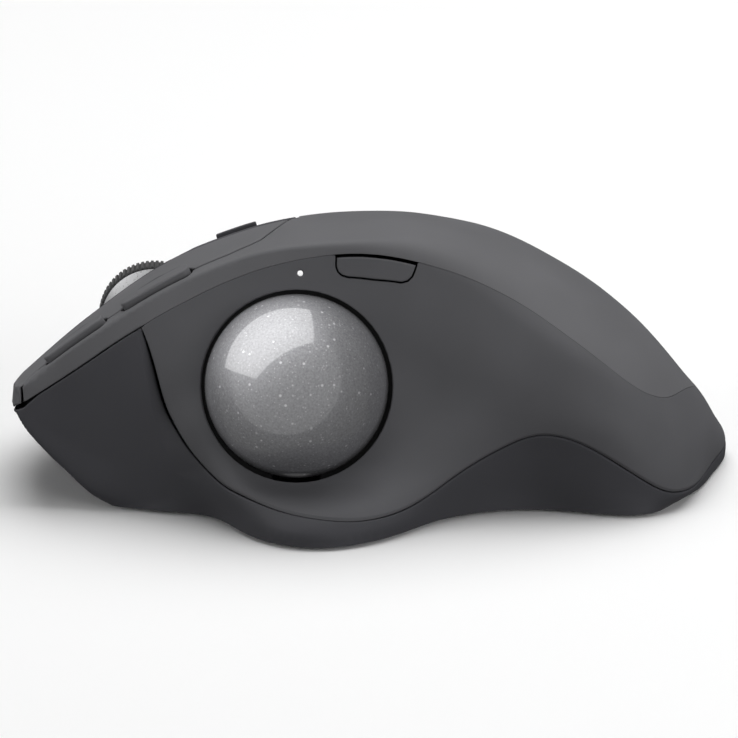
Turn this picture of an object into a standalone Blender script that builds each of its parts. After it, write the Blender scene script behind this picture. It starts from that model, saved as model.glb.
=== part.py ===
"""Thumb-operated trackball mouse for the right hand.

Frame: +Y points to the front, +X to the right, +Z up, and the desk is z = 0. Sizes below are in millimetres.
The skin is one smooth surface over an unrolled plan: inside the crease a plan point is its own place on the
top, and outside it the distance from the crease runs down the side wall. Each panel is a region of that plan.
"""

import math

import bmesh
import bpy
import numpy as np
from mathutils import Matrix, Vector
from mathutils.geometry import delaunay_2d_cdt

for left_over in list(bpy.data.objects):
    bpy.data.objects.remove(left_over)

# ---------------------------------------------------------------- driving dimensions, mm
MM = 0.001
LIFT = 0.5  # skirt above the desk
GAP = 0.5  # seam between two panels
BUTTON_INSET = 0.55  # what a button stands back from its seam, all round
CORNER_INSET = 1.1  # and at the front left corner, which moves back as it goes down
NOSE_START, NOSE_GAP = 48.0, 2.2  # wider gap under the nose, where the buttons come down
SHELL = 1.5  # wall thickness of the casings
SPACING = 5.5  # mesh spacing on the skin
LINE_STEP = 3.2  # mesh spacing along a seam

BALL_CENTRE = np.array([-28.0, 13.6, 24.8 + LIFT])
BALL_RADIUS = 17.0
SKETCH_TILT = math.radians(16.0)  # thumb-side seams are drawn on a plane tilted back by this
OUTWARD = np.array([-math.cos(SKETCH_TILT), 0.0, math.sin(SKETCH_TILT)])
CUP_INNER, CUP_OUTER, CUP_RIM = 17.4, 19.0, -3.5
BALL_OPENING = 17.75

WHEEL_CENTRE = np.array([3.0, 40.0, 29.2 + LIFT])
WHEEL_RADIUS, WHEEL_WIDTH, TYRE_THICK = 10.4, 7.4, 1.2
TILT_AXIS_Z = 17.5

FLOOR_TOP = 1.7  # thin floor by the walls
FLOOR_RISE = 0.25  # how the floor climbs where the wall leans over it
PLATEAU_TOP = 4.3  # raised floor over the tilt plate
POCKET_TOP = 3.1
PLATE_LOW, PLATE_HIGH = 0.8, 2.2
PLATE_SWING = (0.0, 1.6)  # room to the right, where the plate's edge goes as it tilts
HINGE = np.array([31.0, -2.0, 4.6])

SPINE_X, SPINE_Y, SPINE_HALF = 2.0, 1.0, 40.0


# ---------------------------------------------------------------- splines
class Spline:
    """Cubic spline through values at t; it runs on straight past its ends, or repeats with a period."""

    def __init__(self, t, values, period=None):
        t = np.asarray(t, float)
        values = np.asarray(values, float).reshape(len(t), -1)
        if period:
            order = np.argsort(t % period)
            t, values = (t % period)[order], values[order]
            t = np.append(t, t[0] + period)
            values = np.vstack([values, values[:1]])
        self.t, self.values, self.period = t, values, period
        n = len(t)
        step = np.diff(t)
        slope = np.diff(values, axis=0) / step[:, None]
        matrix, right = np.zeros((n, n)), np.zeros((n, values.shape[1]))
        for i in range(1, n - 1):
            matrix[i, i - 1 : i + 2] = step[i - 1], 2 * (step[i - 1] + step[i]), step[i]
            right[i] = 6 * (slope[i] - slope[i - 1])
        if period:
            matrix[0, [0, 1, n - 2]] = 2 * (step[0] + step[-1]), step[0], step[-1]
            right[0] = 6 * (slope[0] - slope[-1])
            matrix[-1, [0, n - 1]] = 1, -1
        else:
            matrix[0, 0] = matrix[-1, -1] = 1
        self.bend = np.linalg.solve(matrix, right)

    def __call__(self, at):
        at = np.atleast_1d(np.asarray(at, float))
        if self.period:
            at = (at - self.t[0]) % self.period + self.t[0]
        inside = np.clip(at, self.t[0], self.t[-1])
        i = np.clip(np.searchsorted(self.t, inside, side="right") - 1, 0, len(self.t) - 2)
        h = (self.t[i + 1] - self.t[i])[:, None]
        b = (inside - self.t[i])[:, None] / h
        a = 1 - b
        low, high = self.values[i], self.values[i + 1]
        result = a * low + b * high
        result += ((a**3 - a) * self.bend[i] + (b**3 - b) * self.bend[i + 1]) * h**2 / 6
        run = (high - low) / h + ((1 - 3 * a**2) * self.bend[i] + (3 * b**2 - 1) * self.bend[i + 1]) * h / 6
        result += run * (at - inside)[:, None]
        return result[:, 0] if result.shape[1] == 1 else result


def ray_of(x, y):
    """(angle, distance) of plan points from the spine, whose rays fan out smoothly round its ends."""
    dx, dy = np.abs(x - SPINE_X), np.abs(y - SPINE_Y)
    low, high = np.full(dx.shape, 1e-6), np.full(dx.shape, 300.0)
    for _ in range(46):
        mid = (low + high) / 2
        outside = (dx / mid) ** 2 + (dy / (SPINE_HALF + mid)) ** 2 > 1
        low, high = np.where(outside, mid, low), np.where(outside, high, mid)
    rho = (low + high) / 2
    return np.arctan2((y - SPINE_Y) / (SPINE_HALF + rho), (x - SPINE_X) / rho), rho


def plan_of(angle, rho):
    x = SPINE_X + rho * np.cos(angle)
    return np.stack([x, SPINE_Y + (SPINE_HALF + rho) * np.sin(angle)], -1)


class Ring:
    """A closed line round the body, through hand-placed (x, y, z) points."""

    def __init__(self, points):
        x, y, z = np.array(points, float).T
        angle, rho = ray_of(x, y)
        self.curve = Spline(angle, np.stack([rho, z + LIFT], 1), 2 * math.pi)

    def __call__(self, angle):
        return self.curve(angle).T


# ---------------------------------------------------------------- the top surface
TOP_TANGENT_X = 2.0
TOP_SLOPE = math.tan(SKETCH_TILT)
TOP_HEIGHT = Spline(
    [-66, -60, -55, -50, -45, -40, -34, -28, -21, -14, -7, 0, 7, 15, 22, 29, 35, 42, 50.6, 57, 64],
    [8.2, 17.1, 23.4, 28.8, 33.4, 37.3, 41.1, 44.4, 47.2, 48.8, 49.8, 50.0, 49.7, 48.6, 46.9,
     44.4, 41.8, 37.6,
     31.1, 25.7, 19.3],
)
TOP_BEND = Spline(
    [-66, -50, -35, -25, -16, -7, 9, 26, 36, 48, 64],
    [0.022, 0.020, 0.0180, 0.0152, 0.0120, 0.0103, 0.0099, 0.0100, 0.0097, 0.0081, 0.0050],
)


def top_z(plan):
    """Height of the top: in each cross section a parabola that falls to the right at TOP_TANGENT_X."""
    off = plan[..., 0] - TOP_TANGENT_X
    y = plan[..., 1]
    return TOP_HEIGHT(y) - TOP_SLOPE * off - TOP_BEND(y) * off**2 + LIFT


# ---------------------------------------------------------------- the side wall, as lines round the body
CREASE = Ring([
    (-17.5, 65.3, 0), (-20.5, 64.6, 0), (-21.2, 61.5, 0), (-21.6, 57, 0), (-22.4, 48.3, 0),
    (-22.2, 40, 0), (-21.7, 32, 0), (-21.3, 25, 0),
    (-22, 16, 0), (-23, 7, 0), (-23, -2, 0), (-23, -11, 0), (-24, -19, 0), (-24.8, -28, 0), (-24, -38, 0),
    (-20, -47, 0), (-11, -53.5, 0), (2, -56, 0), (15, -53.5, 0), (25, -46, 0), (31, -34, 0), (34, -18, 0),
    (35, 0, 0), (34.5, 18, 0), (33.4, 32, 0), (32, 44, 0), (29, 53.4, 0), (20, 60, 0), (10, 63.6, 0),
    (0, 65.0, 0), (-12, 65.5, 0),
])
HIGH = Ring([
    (-17.5, 65.7, 22), (-20.7, 65, 22.6), (-21.5, 61.5, 24.5), (-22, 57, 26), (-23.6, 48, 30.5),
    (-23.8, 40, 35.5), (-23.2, 32, 39.5), (-22.9, 24, 42.5),
    (-23.6, 13.7, 45), (-24.2, 5, 45), (-24.4, -4, 44.5), (-25.0, -12, 42.5), (-26.2, -20, 40),
    (-27.7, -32, 34.5),
    (-26.8, -42, 28.5), (-22.5, -50.5, 22), (-12.5, -57, 18.6), (3, -59.2, 17.2), (18, -56.5, 15.4),
    (29, -50, 14.5),
    (36, -38, 15), (40, -18, 19.5), (41, 0, 23), (40, 18, 24.5), (38.2, 32, 23.5), (35.5, 44, 20),
    (31, 54, 15.4),
    (20.4, 60.6, 14.8), (10, 64.2, 15.7), (0, 65.4, 17.6), (-12, 65.9, 20.8),
])
MID = Ring([
    (-17.6, 65.9, 20.6), (-20.8, 65.2, 21), (-21.7, 61.6, 20.6), (-22.3, 57, 21), (-24.8, 48, 22.5),
    (-27, 40, 24), (-28.8, 33, 25.5), (-29.4, 24, 25.6),
    (-29.4, 13.6, 25.6), (-29.5, 5, 25.6), (-29.6, -4, 25.6), (-29.8, -12, 25.4), (-30.3, -20, 27),
    (-29.9, -32, 26.5),
    (-29, -43, 22), (-24.8, -52.4, 16.5), (-14.2, -59, 14), (3.6, -61.9, 13.2), (20, -59.3, 11.8),
    (32.5, -52.5, 10.6),
    (40.5, -40, 10.8), (45, -18, 13.5), (46, 0, 15.5), (44.2, 18, 17), (41, 33, 17), (37, 45, 15.4),
    (32, 54.5, 13.8),
    (20.8, 61, 14), (10.2, 64.5, 14.7), (0, 65.6, 16.4), (-12, 66.1, 19.4),
])
FOOT = Ring([
    (-17.7, 66, 19.1), (-20.9, 65.4, 19.4), (-21.8, 61.7, 16.6), (-22.4, 57.1, 14), (-24.6, 48, 10),
    (-27, 40, 12), (-31.6, 33, 18), (-34.8, 24, 12.2),
    (-35.8, 13.7, 9.4), (-36.5, 5, 9.4), (-37, -4, 10), (-34.3, -12, 12.4), (-31, -20, 17.5),
    (-29.8, -32, 19.5),
    (-30, -43, 16.6), (-26.4, -53.6, 11), (-15.4, -60.4, 9.6), (4, -64.4, 8.2), (13, -63.9, 7.8),
    (22, -61.6, 7.4), (35, -54.6, 6.8),
    (43.6, -42.5, 6.8), (48.4, -19, 8), (49, 0, 9), (46.4, 19, 9.8), (42.4, 35, 11.2), (37.8, 46, 12.2),
    (32.4, 54.9, 12.6), (21, 61.3, 13), (10.2, 64.8, 13.6), (0, 65.8, 15), (-12, 66.2, 17.9),
])
LIP = Ring([
    (-17.7, 66.1, 17.6), (-20.9, 65.5, 17.6), (-21.6, 64.1, 15.2), (-21.7, 61.8, 12.4), (-22, 57.3, 7.9),
    (-22.3, 53, 3.7), (-22.8, 49.8, 1.8), (-25.6, 40, 3.6), (-30.4, 33, 9), (-40.5, 23.4, 7.2),
    (-46.6, 13.7, 5.6), (-47.2, 5, 5.2), (-42.2, -4, 5.2), (-35.6, -12, 6.6), (-30, -20, 9.5),
    (-27.4, -32, 11),
    (-29.4, -43, 10.5), (-26.8, -54.1, 6), (-15.6, -61, 5.2), (4.4, -65.5, 4.2), (13, -66, 4.0),
    (22.4, -63.7, 3.8), (36.1, -55.4, 3.2),
    (44.9, -43.2, 3.2), (49.7, -19.5, 4), (49.9, 0, 4.4), (47, 19.5, 4.8), (42.8, 35.6, 6), (38, 46.6, 8.4),
    (32.6, 55.1, 11.4), (21.2, 61.5, 12), (10.2, 65, 12.4), (0, 65.9, 13.7), (-12, 66.3, 16.4),
])
CHIN = Ring([
    (-17.4, 64.1, 15.6), (-20.2, 63.8, 15.6), (-20.8, 62.7, 13.6), (-20.9, 60.6, 10.8), (-21.2, 56.3, 6.5),
    (-21.5, 52.2, 2.6), (-22.2, 49.1, 0.9), (-25.2, 40, 1.6), (-28.6, 33, 3.6), (-41, 23, 3.6),
    (-49.2, 14, 2.6), (-49, 5, 2.4), (-43.2, -4, 2.4), (-34.2, -12, 3), (-28, -20, 4), (-25.6, -32, 4.6),
    (-28.4, -43, 4.6), (-26.4, -54.2, 2.8), (-15.2, -61, 2.4), (4.6, -65.4, 2.0), (13, -66.3, 1.8),
    (22.6, -64.3, 1.7), (36, -55.3, 1.4),
    (44.8, -43, 1.4), (49.7, -19.6, 1.8), (49.8, 0, 2), (46.8, 19.5, 2.2), (42, 35.4, 3), (36.6, 45.2, 5),
    (31.6, 53.2, 8.6), (20.8, 59.2, 9.6), (10, 62.6, 10), (0, 63.6, 11.2), (-12, 64.2, 13.9),
])
BASE = Ring([
    (-17, 48.5, 0), (-21, 48.3, 0), (-23.7, 43.8, 0), (-25.6, 38.6, 0), (-27.8, 31.4, 0), (-32.6, 27, 0),
    (-40.4, 23, 0), (-46.2, 18.4, 0), (-49.6, 12, 0), (-49.6, 7, 0), (-46, 0, 0), (-40.2, -5.8, 0),
    (-33.6, -11, 0), (-28.8, -16.5, 0), (-25.6, -23, 0), (-24.4, -30, 0), (-25.6, -37, 0), (-28, -45, 0),
    (-27.4, -51.6, 0), (-23, -55, 0), (-12.3, -60.4, 0), (-5, -62.7, 0), (6.6, -65.4, 0), (13, -66.2, 0),
    (22, -64.6, 0), (35, -56, 0),
    (44, -43.5, 0), (49, -28, 0), (49.4, -8, 0), (47.4, 10, 0), (43.4, 27, 0), (38.2, 38, 0), (30, 45.5, 0),
    (18, 48.4, 0), (0, 48.8, 0),
])
LOWER_RINGS = [HIGH, MID, FOOT, LIP, CHIN, BASE]
CREASE_BLEND = Spline(
    np.radians([90, 112, 130, 150, 180, 203, 225, 270, 315, 360, 405, 430]),
    [1.6, 1.6, 1.6, 1.8, 3.0, 7.5, 9.0, 8.0, 9.5, 11.0, 7.0, 2.8],
    2 * math.pi,
)


def wall_knots(angle):
    """Distance from the spine, height and length down the wall at each ring, along these rays."""
    rho = [CREASE(angle)[0]]
    height = [top_z(plan_of(angle, rho[0]))]
    for ring in LOWER_RINGS:
        far, z = ring(angle)
        rho.append(far)
        height.append(z)
    points = np.stack([np.array(rho), np.array(height)], -1)
    runs = np.linalg.norm(np.diff(points, axis=0), axis=-1)
    return points, np.concatenate([np.zeros((1, len(angle))), np.cumsum(runs, axis=0)])


def wall_point(points, length, down):
    """(distance, height) on the wall at this length down it, a smooth curve through the rings."""
    slope = np.diff(points, axis=0) / np.diff(length, axis=0)[..., None]
    step = np.diff(length, axis=0)[..., None]
    inner = (slope[:-1] * step[1:] + slope[1:] * step[:-1]) / (step[:-1] + step[1:])
    tangent = np.concatenate([slope[:1], inner, slope[-1:]])
    down = np.clip(down, 0, length[-1])
    i = np.clip((down[None] >= length).sum(axis=0) - 1, 0, len(length) - 2)
    column = np.arange(len(down))
    h = (length[i + 1, column] - length[i, column])[:, None]
    t = (down - length[i, column])[:, None] / h
    return (
        (2 * t**3 - 3 * t**2 + 1) * points[i, column]
        + (t**3 - 2 * t**2 + t) * h * tangent[i, column]
        + (3 * t**2 - 2 * t**3) * points[i + 1, column]
        + (t**3 - t**2) * h * tangent[i + 1, column]
    )


def skin(q):
    """Skin points for points q of the unrolled plan."""
    angle, radius = ray_of(q[:, 0], q[:, 1])
    points, length = wall_knots(angle)
    crease = points[0, :, 0]
    past = radius - crease
    w = CREASE_BLEND(angle)
    near = np.clip(past, -w, w)
    inner = np.minimum(past, -w) + w - (w - near) ** 2 / (4 * w)
    outer = np.maximum(past, w) - w + (w + near) ** 2 / (4 * w)
    side = wall_point(points, length, outer)
    top = top_z(plan_of(angle, crease + inner))
    plan = plan_of(angle, side[:, 0] + inner)
    return np.column_stack([plan, top + side[:, 1] - points[0, :, 1]])


def skin_frame(q):
    """Skin points, and their two derivatives over the plan."""
    step = 0.02
    east, north = np.array([step, 0]), np.array([0, step])
    along_x = (skin(q + east) - skin(q - east)) / (2 * step)
    along_y = (skin(q + north) - skin(q - north)) / (2 * step)
    return skin(q), along_x, along_y


def skin_normal(along_x, along_y):
    normal = np.cross(along_x, along_y)
    return normal / np.linalg.norm(normal, axis=1)[:, None]


def rim_radius(angle):
    points, length = wall_knots(angle)
    return points[0, :, 0] + length[-1]


# ---------------------------------------------------------------- placing lines on the skin
SKETCH = np.array([[0, 1, 0], [math.sin(SKETCH_TILT), 0, math.cos(SKETCH_TILT)]])
SKETCH_ORIGIN = np.array([-50.0, 0, LIFT])


def seed_points():
    """A coarse cover of the plan, with its skin points and facing, from which a search starts."""
    angle = np.radians(np.arange(0, 360, 2.0))
    rim = rim_radius(angle)
    rows = [plan_of(angle, rim * share) for share in np.linspace(0.04, 0.995, 70)]
    q = np.concatenate(rows)
    p, along_x, along_y = skin_frame(q)
    return q, p, skin_normal(along_x, along_y) @ OUTWARD


SEED_Q, SEED_P, SEED_FACING = seed_points()


def settle(q, targets, view):
    """Moves plan points until the skin there, seen through view, meets the targets."""
    for _ in range(12):
        p, along_x, along_y = skin_frame(q)
        jacobian = np.stack([along_x @ view.T, along_y @ view.T], -1)
        miss = targets - p @ view.T
        square = np.einsum("nki,nkj->nij", jacobian, jacobian) + np.eye(2) * 1e-6
        pull = np.einsum("nki,nk->ni", jacobian, miss)
        q = q + np.clip(np.linalg.solve(square, pull[..., None])[..., 0], -1.5, 1.5)
    return q


def from_sketch(points):
    """Plan points whose skin lies behind these (y, height) points of the thumb-side sketch plane."""
    targets = np.array(points, float) + SKETCH @ SKETCH_ORIGIN
    seen = SEED_FACING > 0.03
    gap = np.linalg.norm((SEED_P[seen] @ SKETCH.T)[None] - targets[:, None], axis=2)
    return settle(SEED_Q[seen][gap.argmin(axis=1)], targets, SKETCH)


def from_space(points):
    """Plan points whose skin is nearest to these (x, y, z) points."""
    targets = np.array(points, float) + [0, 0, LIFT]
    gap = np.linalg.norm(SEED_P[None] - targets[:, None], axis=2)
    return settle(SEED_Q[gap.argmin(axis=1)], targets, np.eye(3))


def from_top(points):
    """Plan points of these (x, y) points of the top."""
    plan = np.array(points, float)
    return from_space(np.column_stack([plan, top_z(plan) - LIFT]))


def smooth(controls, step=LINE_STEP, closed=False):
    """A curve through plan points, at even steps. An open one keeps both its ends."""
    controls = np.array(controls, float)
    if closed:
        controls = np.vstack([controls, controls[:1]])
    run = np.append(0, np.cumsum(np.linalg.norm(np.diff(controls, axis=0), axis=1)))
    if closed:
        curve = Spline(run[:-1], controls[:-1], run[-1])
    else:
        curve = Spline(run, controls)
    count = max(2, round(run[-1] / step) + 1)
    line = curve(np.linspace(0, run[-1], count))
    return line[:-1] if closed else line


def join(*lines):
    """One closed loop of lines that meet end to end."""
    return np.concatenate([line[:-1] for line in lines])


def signed_area(loop):
    x, y = loop.T
    return 0.5 * np.sum(x * np.roll(y, -1) - np.roll(x, -1) * y)


def shrink(loop, distance):
    """The loop moved inwards by this distance along the skin."""
    if signed_area(loop) < 0:
        loop, distance = loop[::-1], np.flip(distance)
    _, along_x, along_y = skin_frame(loop)
    both = np.stack([along_x, along_y], -1)
    metric = np.einsum("nki,nkj->nij", both, both) + np.eye(2) * 1e-6
    lower = np.linalg.cholesky(metric)
    ahead = np.einsum("nji,nj->ni", lower, np.roll(loop, -1, axis=0) - loop)
    behind = np.einsum("nji,nj->ni", lower, loop - np.roll(loop, 1, axis=0))
    ahead /= np.linalg.norm(ahead, axis=1)[:, None]
    behind /= np.linalg.norm(behind, axis=1)[:, None]
    bisector = ahead + behind
    bisector = np.stack([-bisector[:, 1], bisector[:, 0]], -1)
    bisector /= np.linalg.norm(bisector, axis=1)[:, None] + 1e-9
    left = np.stack([-ahead[:, 1], ahead[:, 0]], -1)
    reach = 1 / np.clip((bisector * left).sum(axis=1), 0.4, 1)
    shift = bisector * (reach * distance)[:, None]
    return loop + np.linalg.solve(lower.transpose(0, 2, 1), shift[..., None])[..., 0]


def grow(loop, distance):
    return shrink(loop, -distance)


# ---------------------------------------------------------------- meshes
def within(points, loop):
    """Which points lie inside the loop."""
    odd = np.zeros(len(points), bool)
    x, y = points.T
    for (x0, y0), (x1, y1) in zip(loop, np.roll(loop, -1, axis=0)):
        if y0 != y1:
            odd ^= ((y0 > y) != (y1 > y)) & (x < (x1 - x0) * (y - y0) / (y1 - y0) + x0)
    return odd


def inside(points, loops):
    """Which points lie inside the first loop and outside the others."""
    found = within(points, loops[0])
    for hole in loops[1:]:
        found &= ~within(points, hole)
    return found


def largest_piece(faces, count):
    """The faces of the biggest connected piece: a pinched corner can leave a crumb beside it."""
    group = np.arange(count)
    while True:
        low = group[faces].min(axis=1)
        before = group.copy()
        for corner in faces.T:
            np.minimum.at(group, corner, low)
        if (group == before).all():
            break
    label = group[faces[:, 0]]
    return faces[label == np.bincount(label).argmax()]


def triangulate(loops, extra):
    """Plan triangles, turned anticlockwise, that fill the outer loop less the holes after it."""
    points = np.concatenate([*loops, extra])
    edges, start = [], 0
    for loop in loops:
        count = len(loop)
        edges += [(start + i, start + (i + 1) % count) for i in range(count)]
        start += count
    verts, _, faces, *_ = delaunay_2d_cdt([Vector(p) for p in points], edges, [], 0, 1e-6)
    verts = np.array([tuple(v) for v in verts])
    faces = np.array(faces)
    faces = faces[inside(verts[faces].mean(axis=1), loops)]
    a, b, c = verts[faces].transpose(1, 0, 2)
    turn = (b[:, 0] - a[:, 0]) * (c[:, 1] - a[:, 1]) - (b[:, 1] - a[:, 1]) * (c[:, 0] - a[:, 0])
    faces[turn < 0] = faces[turn < 0][:, ::-1]
    return verts, largest_piece(faces, len(verts))


def lattice():
    """Plan points spread over the whole skin at about SPACING."""
    rings = []
    angle = np.linspace(0, 2 * math.pi, int(360 / SPACING), endpoint=False)
    points, length = wall_knots(angle)
    crease = points[0, :, 0]
    for down in (-2.2, 0.0, 2.2):
        rings.append(plan_of(angle, crease + down))
    lip, chin, rim = length[-3:]
    for share in np.linspace(0, 1, int(40 / SPACING))[1:]:
        rings.append(plan_of(angle, crease + 2.2 + share * (lip - 2.2)))
    for share in (0, 0.5):
        rings.append(plan_of(angle, crease + chin + share * (rim - chin)))
    x, y = np.meshgrid(np.arange(-60, 60, SPACING), np.arange(-80, 80, SPACING * 0.87))
    x = x + (np.arange(len(y))[:, None] % 2) * SPACING / 2
    flat = np.stack([x.ravel(), y.ravel()], -1)
    at, radius = ray_of(flat[:, 0], flat[:, 1])
    return np.concatenate([*rings, flat[radius < CREASE(at)[0] - 4.5]])


LATTICE = lattice()


def fill_points(loops, clearance=0.5 * SPACING):
    keep = LATTICE[inside(LATTICE, loops)]
    edge = np.concatenate(loops)
    gap = np.linalg.norm(keep[:, None] - edge[None], axis=2).min(axis=1)
    return keep[gap > clearance]


def boundary_edges(faces):
    ends = np.concatenate([faces[:, [0, 1]], faces[:, [1, 2]], faces[:, [2, 0]]])
    taken = set(map(tuple, ends))
    return [(a, b) for a, b in taken if (b, a) not in taken]


MATERIALS = {}


def material(name, color, roughness, metallic=0.0):
    if name not in MATERIALS:
        made = bpy.data.materials.new(name)
        made.use_nodes = True
        shader = made.node_tree.nodes["Principled BSDF"]
        shader.inputs["Base Color"].default_value = (*color, 1)
        shader.inputs["Roughness"].default_value = roughness
        shader.inputs["Metallic"].default_value = metallic
        made.diffuse_color = (*color, 1)
        MATERIALS[name] = made
    return MATERIALS[name]


def soft_touch():
    return material("soft_touch", (0.13, 0.13, 0.14), 0.6)


def side_plastic():
    return material("side_plastic", (0.07, 0.07, 0.075), 0.55)


def dark_plastic():
    return material("dark_plastic", (0.035, 0.035, 0.04), 0.55)


def black_plastic():
    return material("black_plastic", (0.01, 0.01, 0.011), 0.4)


def steel():
    return material("steel", (0.55, 0.55, 0.56), 0.3, 1.0)


def rubber():
    return material("rubber", (0.02, 0.02, 0.021), 0.8)


def bright_metal():
    return material("wheel_metal", (0.75, 0.75, 0.76), 0.25, 1.0)


def coated_steel():
    return material("plate_steel", (0.06, 0.06, 0.065), 0.5)


def board_green():
    return material("circuit_board", (0.02, 0.10, 0.05), 0.45)


def add_object(name, verts, faces, look, origin=(0, 0, 0), flat=False):
    """A mesh object from points in mm, with its origin at the given point in mm."""
    mesh = bpy.data.meshes.new(name)
    origin = np.array(origin, float)
    points = (np.array(verts, float) - origin) * MM
    mesh.from_pydata(points.tolist(), [], [list(map(int, f)) for f in faces])
    mesh.update()
    if not flat:
        mesh.shade_smooth()
        mesh.set_sharp_from_angle(angle=math.radians(35))
    mesh.materials.append(look)
    made = bpy.data.objects.new(name, mesh)
    made.location = (origin * MM).tolist()
    bpy.context.scene.collection.objects.link(made)
    return made


def panel(name, loops, look, raised=0.0, thick=SHELL, origin=(0, 0, 0)):
    """A casing panel: the skin over a region, and the same skin one thickness further in."""
    q, faces = triangulate(loops, fill_points(loops))
    p, along_x, along_y = skin_frame(q)
    normal = skin_normal(along_x, along_y)
    count = len(q)
    verts = np.concatenate([p + normal * raised, p - normal * (thick - raised)])
    walls = [(b, a, a + count, b + count) for a, b in boundary_edges(faces)]
    all_faces = faces.tolist() + (faces[:, ::-1] + count).tolist() + walls
    return add_object(name, verts, all_faces, look, origin)


def revolve(name, profile, look, centre, axis, steps=32):
    """A solid turned from (radius, height) points about an axis. Points of radius 0 become poles."""
    axis = Vector(axis).normalized()
    turn = axis.to_track_quat("Z", "Y").to_matrix()
    made = bmesh.new()
    rings = []
    for radius, height in profile:
        if radius < 1e-6:
            rings.append([made.verts.new((0, 0, height))])
            continue
        circle = [2 * math.pi * i / steps for i in range(steps)]
        rings.append([made.verts.new((radius * math.cos(a), radius * math.sin(a), height)) for a in circle])
    pairs = list(zip(rings, rings[1:]))
    if len(rings[0]) > 1 and len(rings[-1]) > 1:
        pairs.append((rings[-1], rings[0]))
    for low, high in pairs:
        for i in range(steps):
            j = (i + 1) % steps
            corners = [low[i % len(low)], low[j % len(low)], high[j % len(high)], high[i % len(high)]]
            made.faces.new(list(dict.fromkeys(corners)))
    bmesh.ops.recalc_face_normals(made, faces=made.faces)
    bmesh.ops.transform(made, matrix=turn.to_4x4(), verts=made.verts)
    mesh = bpy.data.meshes.new(name)
    bmesh.ops.scale(made, vec=(MM, MM, MM), verts=made.verts)
    made.to_mesh(mesh)
    made.free()
    mesh.shade_smooth()
    mesh.set_sharp_from_angle(angle=math.radians(35))
    mesh.materials.append(look)
    result = bpy.data.objects.new(name, mesh)
    result.location = (np.array(centre) * MM).tolist()
    bpy.context.scene.collection.objects.link(result)
    return result


def rod(name, radius, start, end, look, steps=24):
    start, end = np.array(start, float), np.array(end, float)
    length = np.linalg.norm(end - start)
    profile = [(0, 0), (radius, 0), (radius, length), (0, length)]
    return revolve(name, profile, look, start, end - start, steps)


def block(name, low, high, look, bevel=0.0, origin=None):
    """A box between two corners in mm, with its edges rounded if asked."""
    low, high = np.array(low, float), np.array(high, float)
    origin = (low + high) / 2 if origin is None else np.array(origin, float)
    made = bmesh.new()
    bmesh.ops.create_cube(made, size=1)
    bmesh.ops.scale(made, vec=((high - low) * MM).tolist(), verts=made.verts)
    bmesh.ops.translate(made, vec=(((low + high) / 2 - origin) * MM).tolist(), verts=made.verts)
    if bevel:
        edges = list(made.edges)
        bmesh.ops.bevel(made, geom=edges, offset=bevel * MM, segments=2, profile=0.5, affect="EDGES")
    mesh = bpy.data.meshes.new(name)
    made.to_mesh(mesh)
    made.free()
    mesh.materials.append(look)
    result = bpy.data.objects.new(name, mesh)
    result.location = (origin * MM).tolist()
    bpy.context.scene.collection.objects.link(result)
    return result


def slab(name, outline, low, high, look, origin=(0, 0, 0), tool=False):
    """A flat plate over a plan outline, between two heights."""
    if signed_area(outline) < 0:
        outline = outline[::-1]
    q, faces = triangulate([outline], np.zeros((0, 2)))
    count = len(q)
    top = np.column_stack([q, np.full(count, high)])
    verts = np.concatenate([top, np.column_stack([q, np.full(count, low)])])
    walls = [(b, a, a + count, b + count) for a, b in boundary_edges(faces)]
    all_faces = faces.tolist() + (faces[:, ::-1] + count).tolist() + walls
    made = add_object(name, verts, all_faces, look, origin, flat=True)
    return as_tool(made) if tool else made


def as_tool(made):
    made.hide_render = True
    made.display_type = "WIRE"
    return made


def boolean(target, tool, operation="DIFFERENCE"):
    as_tool(tool)
    change = target.modifiers.new(tool.name, "BOOLEAN")
    change.operation = operation
    change.solver = "EXACT"
    change.object = tool


# ---------------------------------------------------------------- seams
def resample_corner(points, step=LINE_STEP):
    """A line of straight runs between plan points, at even steps."""
    runs = []
    for a, b in zip(points, points[1:]):
        count = max(1, round(np.linalg.norm(np.subtract(b, a)) / step))
        runs.append(np.linspace(a, b, count, endpoint=False))
    return np.vstack([*runs, points[-1]])


STRIP_X = (-3.4, 9.4)  # centre strip between the two buttons
STRIP_REAR = 13.5

front_corner = from_sketch([(64.4, 26.4)])
panel_corner = from_sketch([(42.4, 40.7)])
rear_joint = from_space([(43.5, -45.5, 3.9)])
front_marks = from_space([(STRIP_X[0], 66.4, 14.5), (STRIP_X[1], 65.1, 12.4), (27, 58.3, 11.7)])

strip_seam = smooth(np.concatenate([front_corner, from_sketch([(58.3, 30.3), (51.1, 35.1)]), panel_corner]))
lower_seam = smooth(np.concatenate([
    panel_corner,
    from_sketch([
        (40.4, 35.2), (39.1, 30.3), (37.6, 25.4), (35.6, 21.4), (32.6, 16.9), (28.9, 12.9), (25, 10.2),
        (20.6, 8.3), (13, 6.0), (5.2, 5.0), (-3.5, 6.0), (-9.3, 8.5), (-16, 13.2), (-20.5, 16.1), (-25, 18.5),
        (-32.6, 20.6), (-38, 19.4), (-42.9, 17), (-49.5, 13), (-54, 10.6), (-59, 10.6),
    ]),
    from_space([(-4, -63.2, 2.6), (8, -65.7, 2.6), (22, -64, 2.8), (34, -56.5, 3.2)]),
    rear_joint,
]))
right_seam = smooth(np.concatenate([
    rear_joint,
    from_space([
        (48.8, -28, 5), (49.6, -8, 6), (48, 12, 7.4), (44.6, 29, 9), (39.6, 42.5, 10.4), (33.5, 53, 11.4),
    ]),
    front_marks[2:],
]))
nose_right = smooth(np.concatenate([front_marks[2:], from_space([(19, 62, 12)]), front_marks[1:2]]))
nose_middle = smooth(np.concatenate([front_marks[1:2], from_space([(3, 66, 13.3)]), front_marks[:1]]))
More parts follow.
